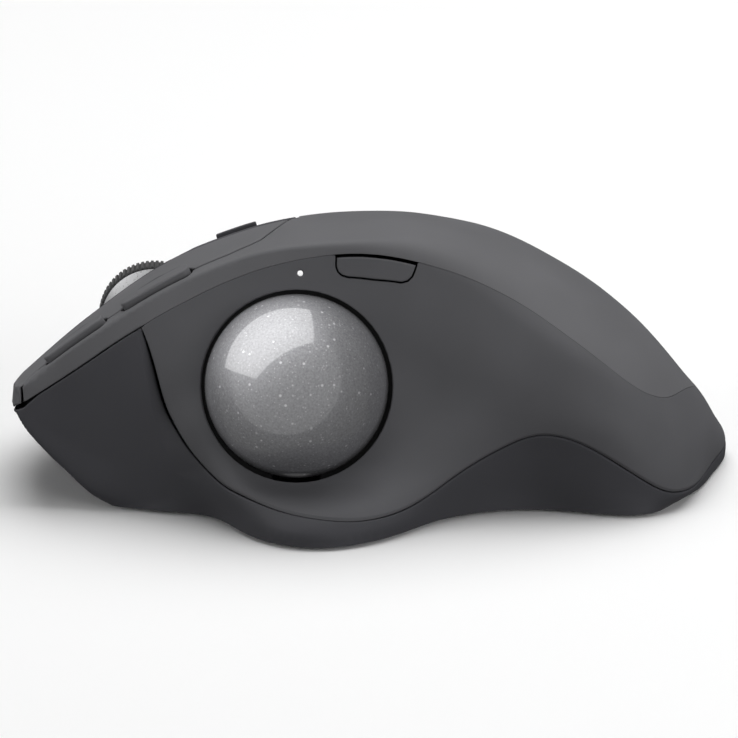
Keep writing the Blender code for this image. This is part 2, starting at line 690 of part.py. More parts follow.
nose_left = smooth(np.concatenate([
    front_marks[:1],
    from_space([(-9, 66.5, 15.7), (-15.5, 66.4, 17.2), (-19.6, 66, 18.2)]),
    front_corner,
]))
upper_seam = smooth(np.concatenate([
    panel_corner,
    from_sketch([
        (38.6, 43.1), (34.8, 45.1), (28.8, 48.1), (22.7, 50.6), (16.7, 52.4), (9.3, 53.8), (0, 54.2),
        (-8.9, 52.7), (-16, 50.6), (-21.4, 48.4), (-29.5, 44), (-38.4, 37.7), (-44, 33.4), (-49.5, 29.4),
        (-53.6, 27.8), (-58, 29.1),
    ]),
    from_space([(8, -61.8, 15.6), (21, -59, 12.6), (33, -53, 8.6)]),
    rear_joint,
]))

BARS = ((33.3, 45.6), (49.1, 59.7))  # forward and back buttons, along Y
BAR_HALF = 1.6


def bar_x(y):
    """Middle of the back and forward buttons, beside the crease."""
    return float(np.interp(y, [30, 40, 50, 62], [-18.6, -19.3, -19.2, -18.6]))


def button_seam(side):
    """The left button's outer seam from the nose to its rear, stepping round the two bars.

    side is +1 on the button's edge and -1 on the shell's edge."""
    marks = [(bar_x(62.3), 62.3)]
    for low, high in reversed(BARS):
        for y in (high + GAP, low - GAP):
            edge = bar_x(y) + side * (BAR_HALF + GAP)
            jog = [(bar_x(y), y), (edge, y)]
            marks += jog if y > low else jog[::-1]
    top = from_top(marks)
    rear = from_sketch([(30.5, 52.5), (26.3, 54.2), (22, 56.1), (20.2, 57), (18.5, 58.3), (16.9, 59.5)])
    top = np.concatenate([top, rear, from_top([(STRIP_X[0], 14.9)])])
    drop = from_sketch([(64.5, 28.6), (64.2, 30.3)])
    return resample_corner(np.concatenate([front_corner, drop, top]))


left_seams = {side: button_seam(side) for side in (1, -1)}
rear_left = left_seams[1][-1:]
right_top = from_top([
    (28.2, 54), (31.4, 46), (32.4, 37), (31.6, 28), (27.5, 20.5), (20, 15.6), (STRIP_X[1], 13.6),
])
right_button_seam = smooth(np.concatenate([front_marks[2:], right_top]))
strip_end = from_top([(-2, STRIP_REAR), (8, STRIP_REAR)])
strip_rear_seam = resample_corner(np.concatenate([rear_left, strip_end, right_top[-1:]]))
strip_left_seam = resample_corner(np.concatenate([
    rear_left, from_top([(STRIP_X[0], y) for y in (30, 45, 58, 64.4)]), front_marks[:1]
]))
strip_right_seam = resample_corner(np.concatenate([
    right_top[-1:], from_top([(STRIP_X[1], y) for y in (30, 45, 58, 63)]), front_marks[1:2]
]))


def rounded_box(low, high, radius, steps=4):
    """Corner points of a plan rectangle with round corners."""
    (x0, y0), (x1, y1) = low, high
    points = []
    corners = [(x1 - radius, y1 - radius, 0), (x0 + radius, y1 - radius, 90)]
    corners += [(x0 + radius, y0 + radius, 180), (x1 - radius, y0 + radius, 270)]
    for cx, cy, start in corners:
        for i in range(steps + 1):
            a = math.radians(start + 90 * i / steps)
            points.append((cx + radius * math.cos(a), cy + radius * math.sin(a)))
    return points


def bar_loop(low, high):
    """Outline of a back or forward button, on the plan."""
    box = np.array(rounded_box((-BAR_HALF, low), (BAR_HALF, high), 1.3))
    return from_top([(x + bar_x(y), y) for x, y in box])


def disc(centre, radius, steps):
    angle = np.linspace(0, 2 * math.pi, steps, endpoint=False)
    return np.stack([centre[0] + radius * np.cos(angle), centre[1] + radius * np.sin(angle)], -1)


SLOT_BOX = ((-1.9, 33.4), (7.9, 52.6))
CHANNEL_BOX = ((0.0, 21.0), (6.0, 28.4))
LIGHT_SPOT = (12.9, 50.7)
LIGHT_RADIUS = 0.7
wheel_slot = from_top(rounded_box(*SLOT_BOX, 1.6))
channel_loop = from_top(rounded_box(*CHANNEL_BOX, 1.6))
bar_loops = [bar_loop(*ends) for ends in BARS]
precision_low = from_sketch([
    (6.1, 53.4), (6.15, 52.0), (5.8, 51.0), (5.1, 50.4), (4.1, 50.1), (-1, 49.6), (-5.8, 49.1), (-6.9, 49.4),
    (-7.7, 50.2), (-8.1, 51.2), (-8.4, 52.0),
])
precision_top = from_sketch([(-8.4, 52.0), (-3.6, 53.0), (1.6, 53.5), (6.1, 53.4)])
precision_above = from_sketch([(-8.9, 54.2), (-1, 56.2), (6.6, 55.8)])
precision_loop = join(resample_corner(precision_low, 1.2), resample_corner(precision_top, 1.2))
precision_notch = np.concatenate([precision_low, precision_above, precision_low[:1]])
precision_notch = resample_corner(precision_notch, 1.5)[:-1]
ball_loop = from_sketch(disc((BALL_CENTRE[1], 29.91), BALL_OPENING, 56))
light_loop = from_sketch(disc(LIGHT_SPOT, LIGHT_RADIUS + 0.45, 12))


# ---------------------------------------------------------------- casing
def base_housing():
    """The tray: side skin from the seam down to the skirt, a floor, and what is cut into it."""
    hole = join(strip_seam, lower_seam, right_seam, nose_right, nose_middle, nose_left)
    at_nose = skin(hole)[:, 1] > NOSE_START
    hole = grow(hole, np.where(at_nose, NOSE_GAP, GAP / 2))
    angle = np.linspace(0, 2 * math.pi, 96, endpoint=False)
    rim = plan_of(angle, rim_radius(angle) - 0.01)
    q, faces = triangulate([rim, hole], fill_points([rim, hole]))
    p, along_x, along_y = skin_frame(q)
    normal = skin_normal(along_x, along_y)
    inner = p - normal * SHELL
    count = len(q)
    low = np.linalg.norm(q[:, None] - rim[None], axis=2).argmin(axis=0)
    p[low, 2] = LIFT
    inward = normal[low, :2]
    inner[low, :2] = p[low, :2] - inward * SHELL
    inner[low, 2] = FLOOR_TOP
    inner[:, 2] = np.maximum(inner[:, 2], FLOOR_TOP + FLOOR_RISE * (p[:, 2] - LIFT))
    edges = boundary_edges(faces)
    rim_set = set(low.tolist())
    walls = [(b, a, a + count, b + count) for a, b in edges if not (a in rim_set and b in rim_set)]
    verts = np.concatenate([p, inner])
    all_faces = faces.tolist() + (faces[:, ::-1] + count).tolist() + walls
    for layer, turned in ((0, True), (count, False)):
        ring = low + layer
        _, cap = triangulate([verts[ring, :2]], np.zeros((0, 2)))
        cap = ring[cap]
        all_faces += (cap[:, ::-1] if turned else cap).tolist()
    return add_object("base_housing", verts, all_faces, dark_plastic())


def plate_outline(grow_by=0.0):
    """The tilt plate's outline, straight along its hinge on the right."""
    points = np.array([
        (-16, 33), (-25, 28.5), (-36, 19.5), (-41.5, 9.5), (-37, 0), (-27, -9), (-20.5, -19), (-19, -30),
        (-20, -43), (-13, -51.5), (2, -56), (17, -53), (27, -44), (31.2, -32), (32, -20), (32, -8), (32, 4),
        (31.4, 16), (27, 27), (16, 33.6), (0, 35),
    ])
    outline = smooth(points, 4.0, closed=True)
    tangent = np.roll(outline, -1, axis=0) - np.roll(outline, 1, axis=0)
    tangent /= np.linalg.norm(tangent, axis=1)[:, None]
    outward = np.stack([-tangent[:, 1], tangent[:, 0]], -1) * (-1 if signed_area(outline) > 0 else 1)
    return outline + outward * grow_by


SCREW_SPOTS = [(-14, 27), (26, 25), (-12, -44), (24, -38)]
SOCKET_LOW, SOCKET_HIGH = np.array([-0.7, 49.5, 8.6]), np.array([6.7, 57.2, 11.4])
SLIDER_CENTRE = np.array([12.0, 41.0])
SLIDER_TRAVEL = 3.5
EJECT_RADIUS = 4.0


def cut_base(base):
    look = dark_plastic()
    for i, shift in enumerate(PLATE_SWING):
        plateau = slab(f"plateau_{i + 1}", plate_outline(2.4) + [shift, 0], 1.1, PLATEAU_TOP, look, tool=True)
        boolean(base, plateau, "UNION")
    boolean(base, block("hinge_housing", HINGE - [4.4, 12.5, 1.2], HINGE + [3.0, 12.5, 1.8], look), "UNION")
    for i, (x, y) in enumerate(SCREW_SPOTS):
        boss = rod(f"boss_{i + 1}", 3.2, (x, y, PLATEAU_TOP - 0.6), (x, y, 13.6), look)
        boolean(base, boss, "UNION")
    for i, shift in enumerate(PLATE_SWING):
        outline = plate_outline(0.9) + [shift, 0]
        boolean(base, slab(f"pocket_tool_{i + 1}", outline, -2, POCKET_TOP, look, tool=True))
    hx, hy = HINGE[:2]
    lug = block("lug_slot_tool", (hx - 2.6, hy - 6.7, 2.5), (hx + 2.0, hy + 6.7, 8), look)
    boolean(base, lug)
    boolean(base, rod("pin_bore_tool", 0.9, HINGE - [0, 11, 0], HINGE + [0, 11, 0], look))
    for i, (x, y) in enumerate(SCREW_SPOTS):
        profile = [(0, 2.9), (2.4, 2.9), (2.4, 5.4), (1.25, 5.4), (1.25, 12.9), (0, 12.9)]
        boolean(base, revolve(f"screw_bore_{i + 1}", profile, look, (x, y, 0), (0, 0, 1), 24))
    boolean(base, block("socket_tool", SOCKET_LOW - [0.35, 3, 0.35], SOCKET_HIGH + [0.35, 14, 0.35], look))
    half = (4.9 + SLIDER_TRAVEL) / 2 + 0.5
    low = (SLIDER_CENTRE[0] - half, SLIDER_CENTRE[1] - 2.5, -2)
    boolean(base, block("slider_tool", low, (SLIDER_CENTRE[0] + half, SLIDER_CENTRE[1] + 2.5, 2.6), look))
    x, y = BALL_CENTRE[:2]
    boolean(base, rod("eject_tool", EJECT_RADIUS, (x, y, -2), (x, y, 9), look, 28))


BUTTON_HINGE = np.array([0.0, 17.0, 46.0])
BUTTON_TRAVEL = 1.1  # room over each button's switch
SWITCH_NUB = 0.9
LEFT_SWITCH = (-11, 52.5, 14.5, 20.5)
RIGHT_SWITCH = (15, 51.5, 14.5, 17.8)


def casing():
    base = base_housing()
    cut_base(base)
    panel_edge = shrink(join(lower_seam, upper_seam[::-1]), GAP / 2)
    openings = [ball_loop, grow(precision_notch, GAP), light_loop]
    panel("thumb_panel", [panel_edge, *openings], side_plastic())
    shell_edge = join(
        strip_seam[::-1], left_seams[-1], strip_rear_seam,
        right_button_seam[::-1], right_seam[::-1], upper_seam[::-1],
    )
    panel("top_shell", [shrink(shell_edge, GAP / 2)], soft_touch())
    buttons = (
        ("left_button", join(left_seams[1], strip_left_seam, nose_left), LEFT_SWITCH),
        ("right_button", join(right_button_seam, strip_right_seam, nose_right[::-1]), RIGHT_SWITCH),
    )
    for name, loop, (x, y, low, high) in buttons:
        x_skin, y_skin, _ = skin(loop).T
        inset = np.where((x_skin < -15) & (y_skin > 60), CORNER_INSET, BUTTON_INSET)
        button = panel(name, [shrink(loop, inset)], soft_touch(), origin=BUTTON_HINGE)
        under = top_z(np.array([x, y])).item() - SHELL * 0.6
        foot = high + SWITCH_NUB + BUTTON_TRAVEL
        post = rod(name + "_post", 1.4, (x, y, foot), (x, y, under), soft_touch())
        boolean(button, post, "UNION")
    strip_loop = join(strip_left_seam, nose_middle[::-1], strip_right_seam[::-1], strip_rear_seam[::-1])
    panel("center_strip", [shrink(strip_loop, GAP / 2), wheel_slot, grow(channel_loop, GAP)], dark_plastic())
    panel("channel_button", [channel_loop], dark_plastic(), raised=0.8, thick=4.2)
    panel("forward_button", [bar_loops[0]], side_plastic(), raised=1.2, thick=3.0)
    panel("back_button", [bar_loops[1]], side_plastic(), raised=1.2, thick=3.0)
    panel("precision_button", [precision_loop], side_plastic(), raised=0.5, thick=3.6)
    light = from_sketch([LIGHT_SPOT])
    spot = skin(light)[0]
    glow = material("status_light", (0.9, 0.9, 0.9), 0.3)
    rod("status_light", LIGHT_RADIUS, spot - OUTWARD * 3, spot + OUTWARD * 0.05, glow, 16)


# ---------------------------------------------------------------- ball and its seat
BEARING_RADIUS, BEARING_DISTANCE = 1.25, 18.55


def arc(radius, start, end, steps):
    """(distance from the axis, height) points on a sphere, from one polar angle to another, in degrees."""
    angles = np.radians(np.linspace(start, end, steps))
    return [(radius * math.sin(a), radius * math.cos(a)) for a in angles]


def ball_unit():
    pearl = material("ball_pearl", (0.33, 0.33, 0.35), 0.12)
    revolve("ball", arc(BALL_RADIUS, 0, 180, 23), pearl, BALL_CENTRE, OUTWARD, 40)
    rim = math.degrees(math.acos(CUP_RIM / CUP_INNER))
    outer_rim = math.degrees(math.acos(CUP_RIM / CUP_OUTER))
    profile = arc(CUP_INNER, rim, 166, 16) + arc(CUP_OUTER, 167.3, outer_rim, 16)
    cup = revolve("ball_cup", profile, black_plastic(), BALL_CENTRE, OUTWARD, 48)
    x, y, z = BALL_CENTRE
    boolean(cup, rod("cup_eject_tool", EJECT_RADIUS + 0.6, (x, y, 1), (x, y, 14), black_plastic(), 28))
    across = Vector(OUTWARD).orthogonal().normalized()
    for i in range(3):
        turn = Matrix.Rotation(math.radians(120 * i + 50), 3, Vector(OUTWARD))
        lean = math.radians(28)
        direction = np.array(turn @ across) * math.cos(lean) - OUTWARD * math.sin(lean)
        spot = BALL_CENTRE + direction * BEARING_DISTANCE
        pocket = rod(
            f"bearing_pocket_{i + 1}", BEARING_RADIUS + 0.35, BALL_CENTRE + direction * 15,
            BALL_CENTRE + direction * 22, black_plastic(), 20,
        )
        boolean(cup, pocket)
        revolve(f"bearing_{i + 1}", arc(BEARING_RADIUS, 0, 180, 9), steel(), spot, direction, 14)
    inner = -OUTWARD
    lens_spot = BALL_CENTRE + inner * 17.6
    lens = material("lens", (0.8, 0.85, 0.9), 0.05)
    rod("sensor_lens", 3.4, lens_spot, lens_spot + inner * 1.8, lens, 24)
    sensor_spot = lens_spot + inner * 2.2
    tilt = Vector(inner).to_track_quat("Z", "Y").to_matrix()
    for name, low, high, size, look in (
        ("ball_sensor", 0, 1.6, 4.4, black_plastic()),
        ("sensor_board", 1.95, 3.0, 8.0, board_green()),
    ):
        made = block(name, (-size, -size, low), (size, size, high), look, origin=(0, 0, 0))
        made.data.transform(tilt.to_4x4())
        made.location = (sensor_spot * MM).tolist()


# ---------------------------------------------------------------- scroll wheel
def wheel_unit():
    x, y, z = WHEEL_CENTRE
    half = WHEEL_WIDTH / 2
    inner = WHEEL_RADIUS - TYRE_THICK
    tyre = [(inner, -half), (WHEEL_RADIUS - 0.5, -half), (WHEEL_RADIUS, -half + 0.8)]
    tyre += [(WHEEL_RADIUS, half - 0.8), (WHEEL_RADIUS - 0.5, half), (inner, half)]
    revolve("scroll_tyre", tyre, rubber(), WHEEL_CENTRE, (1, 0, 0), 56)
    disc_r = inner - 0.3
    hub = [(1.35, -half + 0.2), (disc_r, -half + 0.2), (disc_r, half - 0.2), (1.35, half - 0.2)]
    revolve("wheel_hub", hub, bright_metal(), WHEEL_CENTRE, (1, 0, 0), 40)
    rod("wheel_axle", 1.0, (x - 6.9, y, z), (x + 6.9, y, z), steel(), 20)
    look = black_plastic()
    frame = block("wheel_cradle", (x - 6.9, y - 2.2, TILT_AXIS_Z - 1.8), (x + 6.9, y + 2.2, z + 2), look)
    gap = block("cradle_gap_tool", (x - 5.4, y - 6, 18.95), (x + 5.4, y + 6, z + 8), look)
    boolean(frame, gap)
    boolean(frame, rod("axle_bore_tool", 1.35, (x - 9, y, z), (x + 9, y, z), look, 20))
    boolean(frame, rod("tilt_bore_tool", 1.15, (x, y - 9, TILT_AXIS_Z), (x, y + 9, TILT_AXIS_Z), look, 20))
    rod("tilt_pin", 0.8, (x, y - 4.6, TILT_AXIS_Z), (x, y + 4.6, TILT_AXIS_Z), steel(), 20)
    bracket = block("wheel_bracket", (x - 5, y - 4.6, 11.5), (x + 5, y + 4.6, 19.0), look)
    boolean(bracket, block("bracket_gap_tool", (x - 9, y - 2.8, 14.6), (x + 9, y + 3.9, 25), look))
    boolean(bracket, rod("pin_seat_tool", 1.1, (x, y - 9, TILT_AXIS_Z), (x, y + 9, TILT_AXIS_Z), look, 20))
    block("wheel_encoder", (x + 7.2, y - 3, z - 4), (x + 9.4, y + 1.4, z + 0.5), black_plastic())


# ---------------------------------------------------------------- electronics
def switch(name, x, y, low, high, nub=SWITCH_NUB):
    """A small snap switch with its button on top."""
    body = block(name, (x - 3.1, y - 2.9, low), (x + 3.1, y + 2.9, high), black_plastic(), 0.25)
    tip = rod(name + "_nub", 1.0, (x, y, high - 0.5), (x, y, high + nub), black_plastic(), 16)
    boolean(body, tip, "UNION")
    return body


def electronics():
    block("main_board", (-4, -32, 8.2), (36, 20, 9.4), board_green())
    block("battery", (6, -31, 9.8), (32, -4, 16.4), material("battery_wrap", (0.06, 0.08, 0.14), 0.4), 0.8)
    block("button_board", (-17, 48.5, 13.0), (23, 56.5, 14.2), board_green())
    block("charge_socket", SOCKET_LOW, SOCKET_HIGH, steel(), 0.4)
    switch("left_switch", *LEFT_SWITCH)
    switch("right_switch", *RIGHT_SWITCH)
    switch("wheel_switch", 3, 40.4, 5.4, 9.4)
    switch("power_switch", SLIDER_CENTRE[0] + 4.0, SLIDER_CENTRE[1] - 1, 5.4, 8.4, 0.5)
    slider = (4.9 / 2, 2.0, 0)
    low = np.array([*SLIDER_CENTRE, 0.9]) - slider - [SLIDER_TRAVEL / 2, 0, 0]
    high = np.array([*SLIDER_CENTRE, 2.2]) + slider - [SLIDER_TRAVEL / 2, 0, 0]
    block("power_slider", low, high, side_plastic(), 0.3)


# ---------------------------------------------------------------- underside
def underside():
    plate = slab("tilt_plate", plate_outline(), PLATE_LOW, PLATE_HIGH, coated_steel(), origin=HINGE)
    x, y, z = HINGE
    lug = block("plate_lug", (x - 1.4, y - 6, PLATE_HIGH - 0.6), (x + 1.0, y + 6, z + 1.2), coated_steel())
    boolean(plate, lug, "UNION")
    boolean(plate, rod("lug_bore_tool", 0.95, (x, y - 9, z), (x, y + 9, z), steel(), 20))
    bx, by = BALL_CENTRE[:2]
    boolean(plate, rod("plate_eject_tool", EJECT_RADIUS, (bx, by, -1), (bx, by, 4), steel(), 28))
    rod("plate_hinge_pin", 0.6, (x, y - 10.5, z), (x, y + 10.5, z), steel(), 16)
    pad = slab("desk_pad", plate_outline(-2.2), 0, LIFT, rubber())
    boolean(pad, rod("pad_eject_tool", EJECT_RADIUS + 0.6, (bx, by, -1), (bx, by, 4), rubber(), 28))
    for i, (sx, sy) in enumerate(SCREW_SPOTS):
        profile = [(0, 3.5), (2.0, 3.5), (2.0, 5.0), (0.9, 5.0), (0.9, 12.5), (0, 12.5)]
        revolve(f"case_screw_{i + 1}", profile, steel(), (sx, sy, 0), (0, 0, 1), 20)
    for i, (mx, my) in enumerate(((-9, -20), (-9, 8))):
        low = PLATEAU_TOP + 0.3
        rod(f"plate_magnet_{i + 1}", 4.0, (mx, my, low), (mx, my, low + 2), steel(), 28)


# ---------------------------------------------------------------- build
casing()
ball_unit()
wheel_unit()
electronics()
underside()
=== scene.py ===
"""Looks of the thumb-operated trackball mouse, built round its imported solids.

Frame: +Y points to the front, +X to the right, +Z up, and the desk is z = 0. Sizes are in millimetres.
The skin is one smooth surface over an unrolled plan, and each panel is a region of that plan.
"""

import math

import bmesh
import bpy
import numpy as np
from mathutils import Matrix, Vector
from mathutils.geometry import delaunay_2d_cdt
from mathutils.kdtree import KDTree


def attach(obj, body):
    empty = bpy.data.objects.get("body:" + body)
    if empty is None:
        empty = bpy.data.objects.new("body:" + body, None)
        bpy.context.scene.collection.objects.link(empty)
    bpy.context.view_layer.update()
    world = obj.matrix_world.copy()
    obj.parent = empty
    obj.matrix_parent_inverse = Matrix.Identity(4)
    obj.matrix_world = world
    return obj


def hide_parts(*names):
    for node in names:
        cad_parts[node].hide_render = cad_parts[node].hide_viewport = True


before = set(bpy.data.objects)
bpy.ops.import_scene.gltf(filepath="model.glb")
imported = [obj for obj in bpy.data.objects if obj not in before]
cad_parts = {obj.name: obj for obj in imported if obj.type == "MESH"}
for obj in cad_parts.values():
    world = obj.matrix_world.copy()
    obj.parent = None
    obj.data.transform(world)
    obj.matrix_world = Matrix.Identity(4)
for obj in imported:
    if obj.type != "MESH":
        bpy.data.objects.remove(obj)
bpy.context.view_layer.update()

# ---------------------------------------------------------------- driving dimensions, mm
MM = 0.001
LIFT = 0.5  # skirt above the desk
GAP = 0.2  # room round the two bars
SPACING = 1.35  # mesh spacing on the skin
LINE_STEP = 1.0  # mesh spacing along a seam

BALL_CENTRE = np.array([-28.0, 13.6, 24.8 + LIFT])
BALL_RADIUS = 17.0
SKETCH_TILT = math.radians(16.0)  # thumb-side seams are drawn on a plane tilted back by this
OUTWARD = np.array([-math.cos(SKETCH_TILT), 0.0, math.sin(SKETCH_TILT)])
CUP_INNER, CUP_OUTER, CUP_RIM = 17.4, 19.0, -3.5
BALL_OPENING = 17.75

WHEEL_CENTRE = np.array([3.0, 40.0, 29.2 + LIFT])
WHEEL_RADIUS, WHEEL_WIDTH, TYRE_THICK = 10.4, 7.4, 1.2

FLOOR_TOP = 1.7  # thin floor
PLATEAU_TOP = 4.3  # raised floor over the tilt plate
POCKET_TOP = 3.1
PLATE_LOW, PLATE_HIGH = 0.8, 2.2
PLATE_SWING = (0.0, 1.6)  # room to the right, where the plate's edge goes as it tilts
HINGE = np.array([31.0, -2.0, 4.6])

SPINE_X, SPINE_Y, SPINE_HALF = 2.0, 1.0, 40.0  # the line inside the body from which the plan's rays fan out
FARTHEST, HALVINGS = 300.0, 56  # first guess at a ray's length, and steps of the search for it
TINY = 1e-9  # keeps a division by a length from failing


# ---------------------------------------------------------------- splines
class Spline:
    """Cubic spline through values at t; it runs on straight past its ends, or repeats with a period."""

    def __init__(self, t, values, period=None):
        t = np.asarray(t, float)
        values = np.asarray(values, float).reshape(len(t), -1)
        if period:
            order = np.argsort(t % period)
            t, values = (t % period)[order], values[order]
            t = np.append(t, t[0] + period)
            values = np.vstack([values, values[:1]])
        self.t, self.values, self.period = t, values, period
        n = len(t)
        step = np.diff(t)
        slope = np.diff(values, axis=0) / step[:, None]
        matrix, right = np.zeros((n, n)), np.zeros((n, values.shape[1]))
        for i in range(1, n - 1):
            matrix[i, i - 1 : i + 2] = step[i - 1], 2 * (step[i - 1] + step[i]), step[i]
            right[i] = 6 * (slope[i] - slope[i - 1])
        if period:
            matrix[0, [0, 1, n - 2]] = 2 * (step[0] + step[-1]), step[0], step[-1]
            right[0] = 6 * (slope[0] - slope[-1])
            matrix[-1, [0, n - 1]] = 1, -1
        else:
            matrix[0, 0] = matrix[-1, -1] = 1
        self.bend = np.linalg.solve(matrix, right)

    def __call__(self, at):
        at = np.atleast_1d(np.asarray(at, float))
        if self.period:
            at = (at - self.t[0]) % self.period + self.t[0]
        inside = np.clip(at, self.t[0], self.t[-1])
        i = np.clip(np.searchsorted(self.t, inside, side="right") - 1, 0, len(self.t) - 2)
        h = (self.t[i + 1] - self.t[i])[:, None]
        b = (inside - self.t[i])[:, None] / h
        a = 1 - b
        low, high = self.values[i], self.values[i + 1]
        result = a * low + b * high
        result += ((a**3 - a) * self.bend[i] + (b**3 - b) * self.bend[i + 1]) * h**2 / 6
        run = (high - low) / h + ((1 - 3 * a**2) * self.bend[i] + (3 * b**2 - 1) * self.bend[i + 1]) * h / 6
        result += run * (at - inside)[:, None]
        return result[:, 0] if result.shape[1] == 1 else result


def ray_of(x, y):
    """(angle, distance) of plan points from the spine, whose rays fan out smoothly round its ends."""
    x = np.where(np.abs(x - SPINE_X) < 1e-4, SPINE_X + 1e-4, x)  # a point right on the spine has no ray
    dx, dy = np.abs(x - SPINE_X), np.abs(y - SPINE_Y)
    low, high = np.full(dx.shape, 1e-7), np.full(dx.shape, FARTHEST)
    for _ in range(HALVINGS):
        mid = (low + high) / 2
        outside = (dx / mid) ** 2 + (dy / (SPINE_HALF + mid)) ** 2 > 1
        low, high = np.where(outside, mid, low), np.where(outside, high, mid)
    rho = (low + high) / 2
    return np.arctan2((y - SPINE_Y) / (SPINE_HALF + rho), (x - SPINE_X) / rho), rho


def plan_of(angle, rho):
    """Plan points at these distances from the spine along these rays."""
    x = SPINE_X + rho * np.cos(angle)
    return np.stack([x, SPINE_Y + (SPINE_HALF + rho) * np.sin(angle)], -1)


class Ring:
    """A closed line round the body, through given (x, y, z) points, or (x, y) points at z = 0."""

    def __init__(self, points):
        x, y, *z = np.array(points, float).T
        angle, rho = ray_of(x, y)
        height = (z[0] if z else 0 * x) + LIFT
        self.curve = Spline(angle, np.stack([rho, height], 1), 2 * math.pi)

    def __call__(self, angle):
        return self.curve(angle).T


# ---------------------------------------------------------------- the top surface
TOP_TANGENT_X = 2.0
TOP_SLOPE = math.tan(SKETCH_TILT)
TOP_HEIGHT = Spline(
    [-66, -60, -55, -50, -45, -40, -34, -28, -21, -14, -7, 0, 7, 15, 22, 29, 35, 42, 50.6, 57, 64],
    [8.2, 17.1, 23.4, 28.8, 33.4, 37.3, 41.1, 44.4, 47.2, 48.8, 49.8, 50.0, 49.7, 48.6, 46.9, 44.4, 41.8,
     37.6, 31.1, 25.7, 19.3],
)
TOP_BEND = Spline(
    [-66, -50, -35, -25, -16, -7, 9, 26, 36, 48, 64],
    [0.022, 0.020, 0.0180, 0.0152, 0.0120, 0.0103, 0.0099, 0.0100, 0.0097, 0.0081, 0.0050],
)


def top_z(plan):
    """Height of the top: in each cross section a parabola that falls to the right at TOP_TANGENT_X."""
    off = plan[..., 0] - TOP_TANGENT_X
    y = plan[..., 1]
    return TOP_HEIGHT(y) - TOP_SLOPE * off - TOP_BEND(y) * off**2 + LIFT


# ---------------------------------------------------------------- the side wall, as lines round the body
CREASE = Ring([
    (-17.5, 65.3), (-20.5, 64.6), (-21.2, 61.5), (-21.6, 57), (-22.4, 48.3), (-22.2, 40), (-21.7, 32),
    (-21.3, 25), (-22, 16), (-23, 7), (-23, -2), (-23, -11), (-24, -19), (-24.8, -28), (-24, -38),
    (-20, -47), (-11, -53.5), (2, -56), (15, -53.5), (25, -46), (31, -34), (34, -18), (35, 0), (34.5, 18),
    (33.4, 32), (32, 44), (29, 53.4), (20, 60), (10, 63.6), (0, 65.0), (-12, 65.5),
])
HIGH = Ring([
    (-17.5, 65.7, 22), (-20.7, 65, 22.6), (-21.5, 61.5, 24.5), (-22, 57, 26), (-23.6, 48, 30.5),
    (-23.8, 40, 35.5), (-23.2, 32, 39.5), (-22.9, 24, 42.5), (-23.6, 13.7, 45), (-24.2, 5, 45),
    (-24.4, -4, 44.5), (-25.0, -12, 42.5), (-26.2, -20, 40), (-27.7, -32, 34.5), (-26.8, -42, 28.5),
    (-22.5, -50.5, 22), (-12.5, -57, 18.6), (3, -59.2, 17.2), (18, -56.5, 15.4), (29, -50, 14.5),
    (36, -38, 15), (40, -18, 19.5), (41, 0, 23), (40, 18, 24.5), (38.2, 32, 23.5), (35.5, 44, 20),
    (31, 54, 15.4), (20.4, 60.6, 14.8), (10, 64.2, 15.7), (0, 65.4, 17.6), (-12, 65.9, 20.8),
])
MID = Ring([
    (-17.6, 65.9, 20.6), (-20.8, 65.2, 21), (-21.7, 61.6, 20.6), (-22.3, 57, 21), (-24.8, 48, 22.5),
    (-27, 40, 24), (-28.8, 33, 25.5), (-29.4, 24, 25.6), (-29.4, 13.6, 25.6), (-29.5, 5, 25.6),
    (-29.6, -4, 25.6), (-29.8, -12, 25.4), (-30.3, -20, 27), (-29.9, -32, 26.5), (-29, -43, 22),
    (-24.8, -52.4, 16.5), (-14.2, -59, 14), (3.6, -61.9, 13.2), (20, -59.3, 11.8), (32.5, -52.5, 10.6),
    (40.5, -40, 10.8), (45, -18, 13.5), (46, 0, 15.5), (44.2, 18, 17), (41, 33, 17), (37, 45, 15.4),
    (32, 54.5, 13.8), (20.8, 61, 14), (10.2, 64.5, 14.7), (0, 65.6, 16.4), (-12, 66.1, 19.4),
])
FOOT = Ring([
    (-17.7, 66, 19.1), (-20.9, 65.4, 19.4), (-21.8, 61.7, 16.6), (-22.4, 57.1, 14), (-24.6, 48, 10),
    (-27, 40, 12), (-31.6, 33, 18), (-34.8, 24, 12.2), (-35.8, 13.7, 9.4), (-36.5, 5, 9.4), (-37, -4, 10),
    (-34.3, -12, 12.4), (-31, -20, 17.5), (-29.8, -32, 19.5), (-30, -43, 16.6), (-26.4, -53.6, 11),
    (-15.4, -60.4, 9.6), (4, -64.4, 8.2), (13, -63.9, 7.8), (22, -61.6, 7.4), (35, -54.6, 6.8),
    (43.6, -42.5, 6.8), (48.4, -19, 8), (49, 0, 9), (46.4, 19, 9.8), (42.4, 35, 11.2), (37.8, 46, 12.2),
    (32.4, 54.9, 12.6), (21, 61.3, 13), (10.2, 64.8, 13.6), (0, 65.8, 15), (-12, 66.2, 17.9),
])
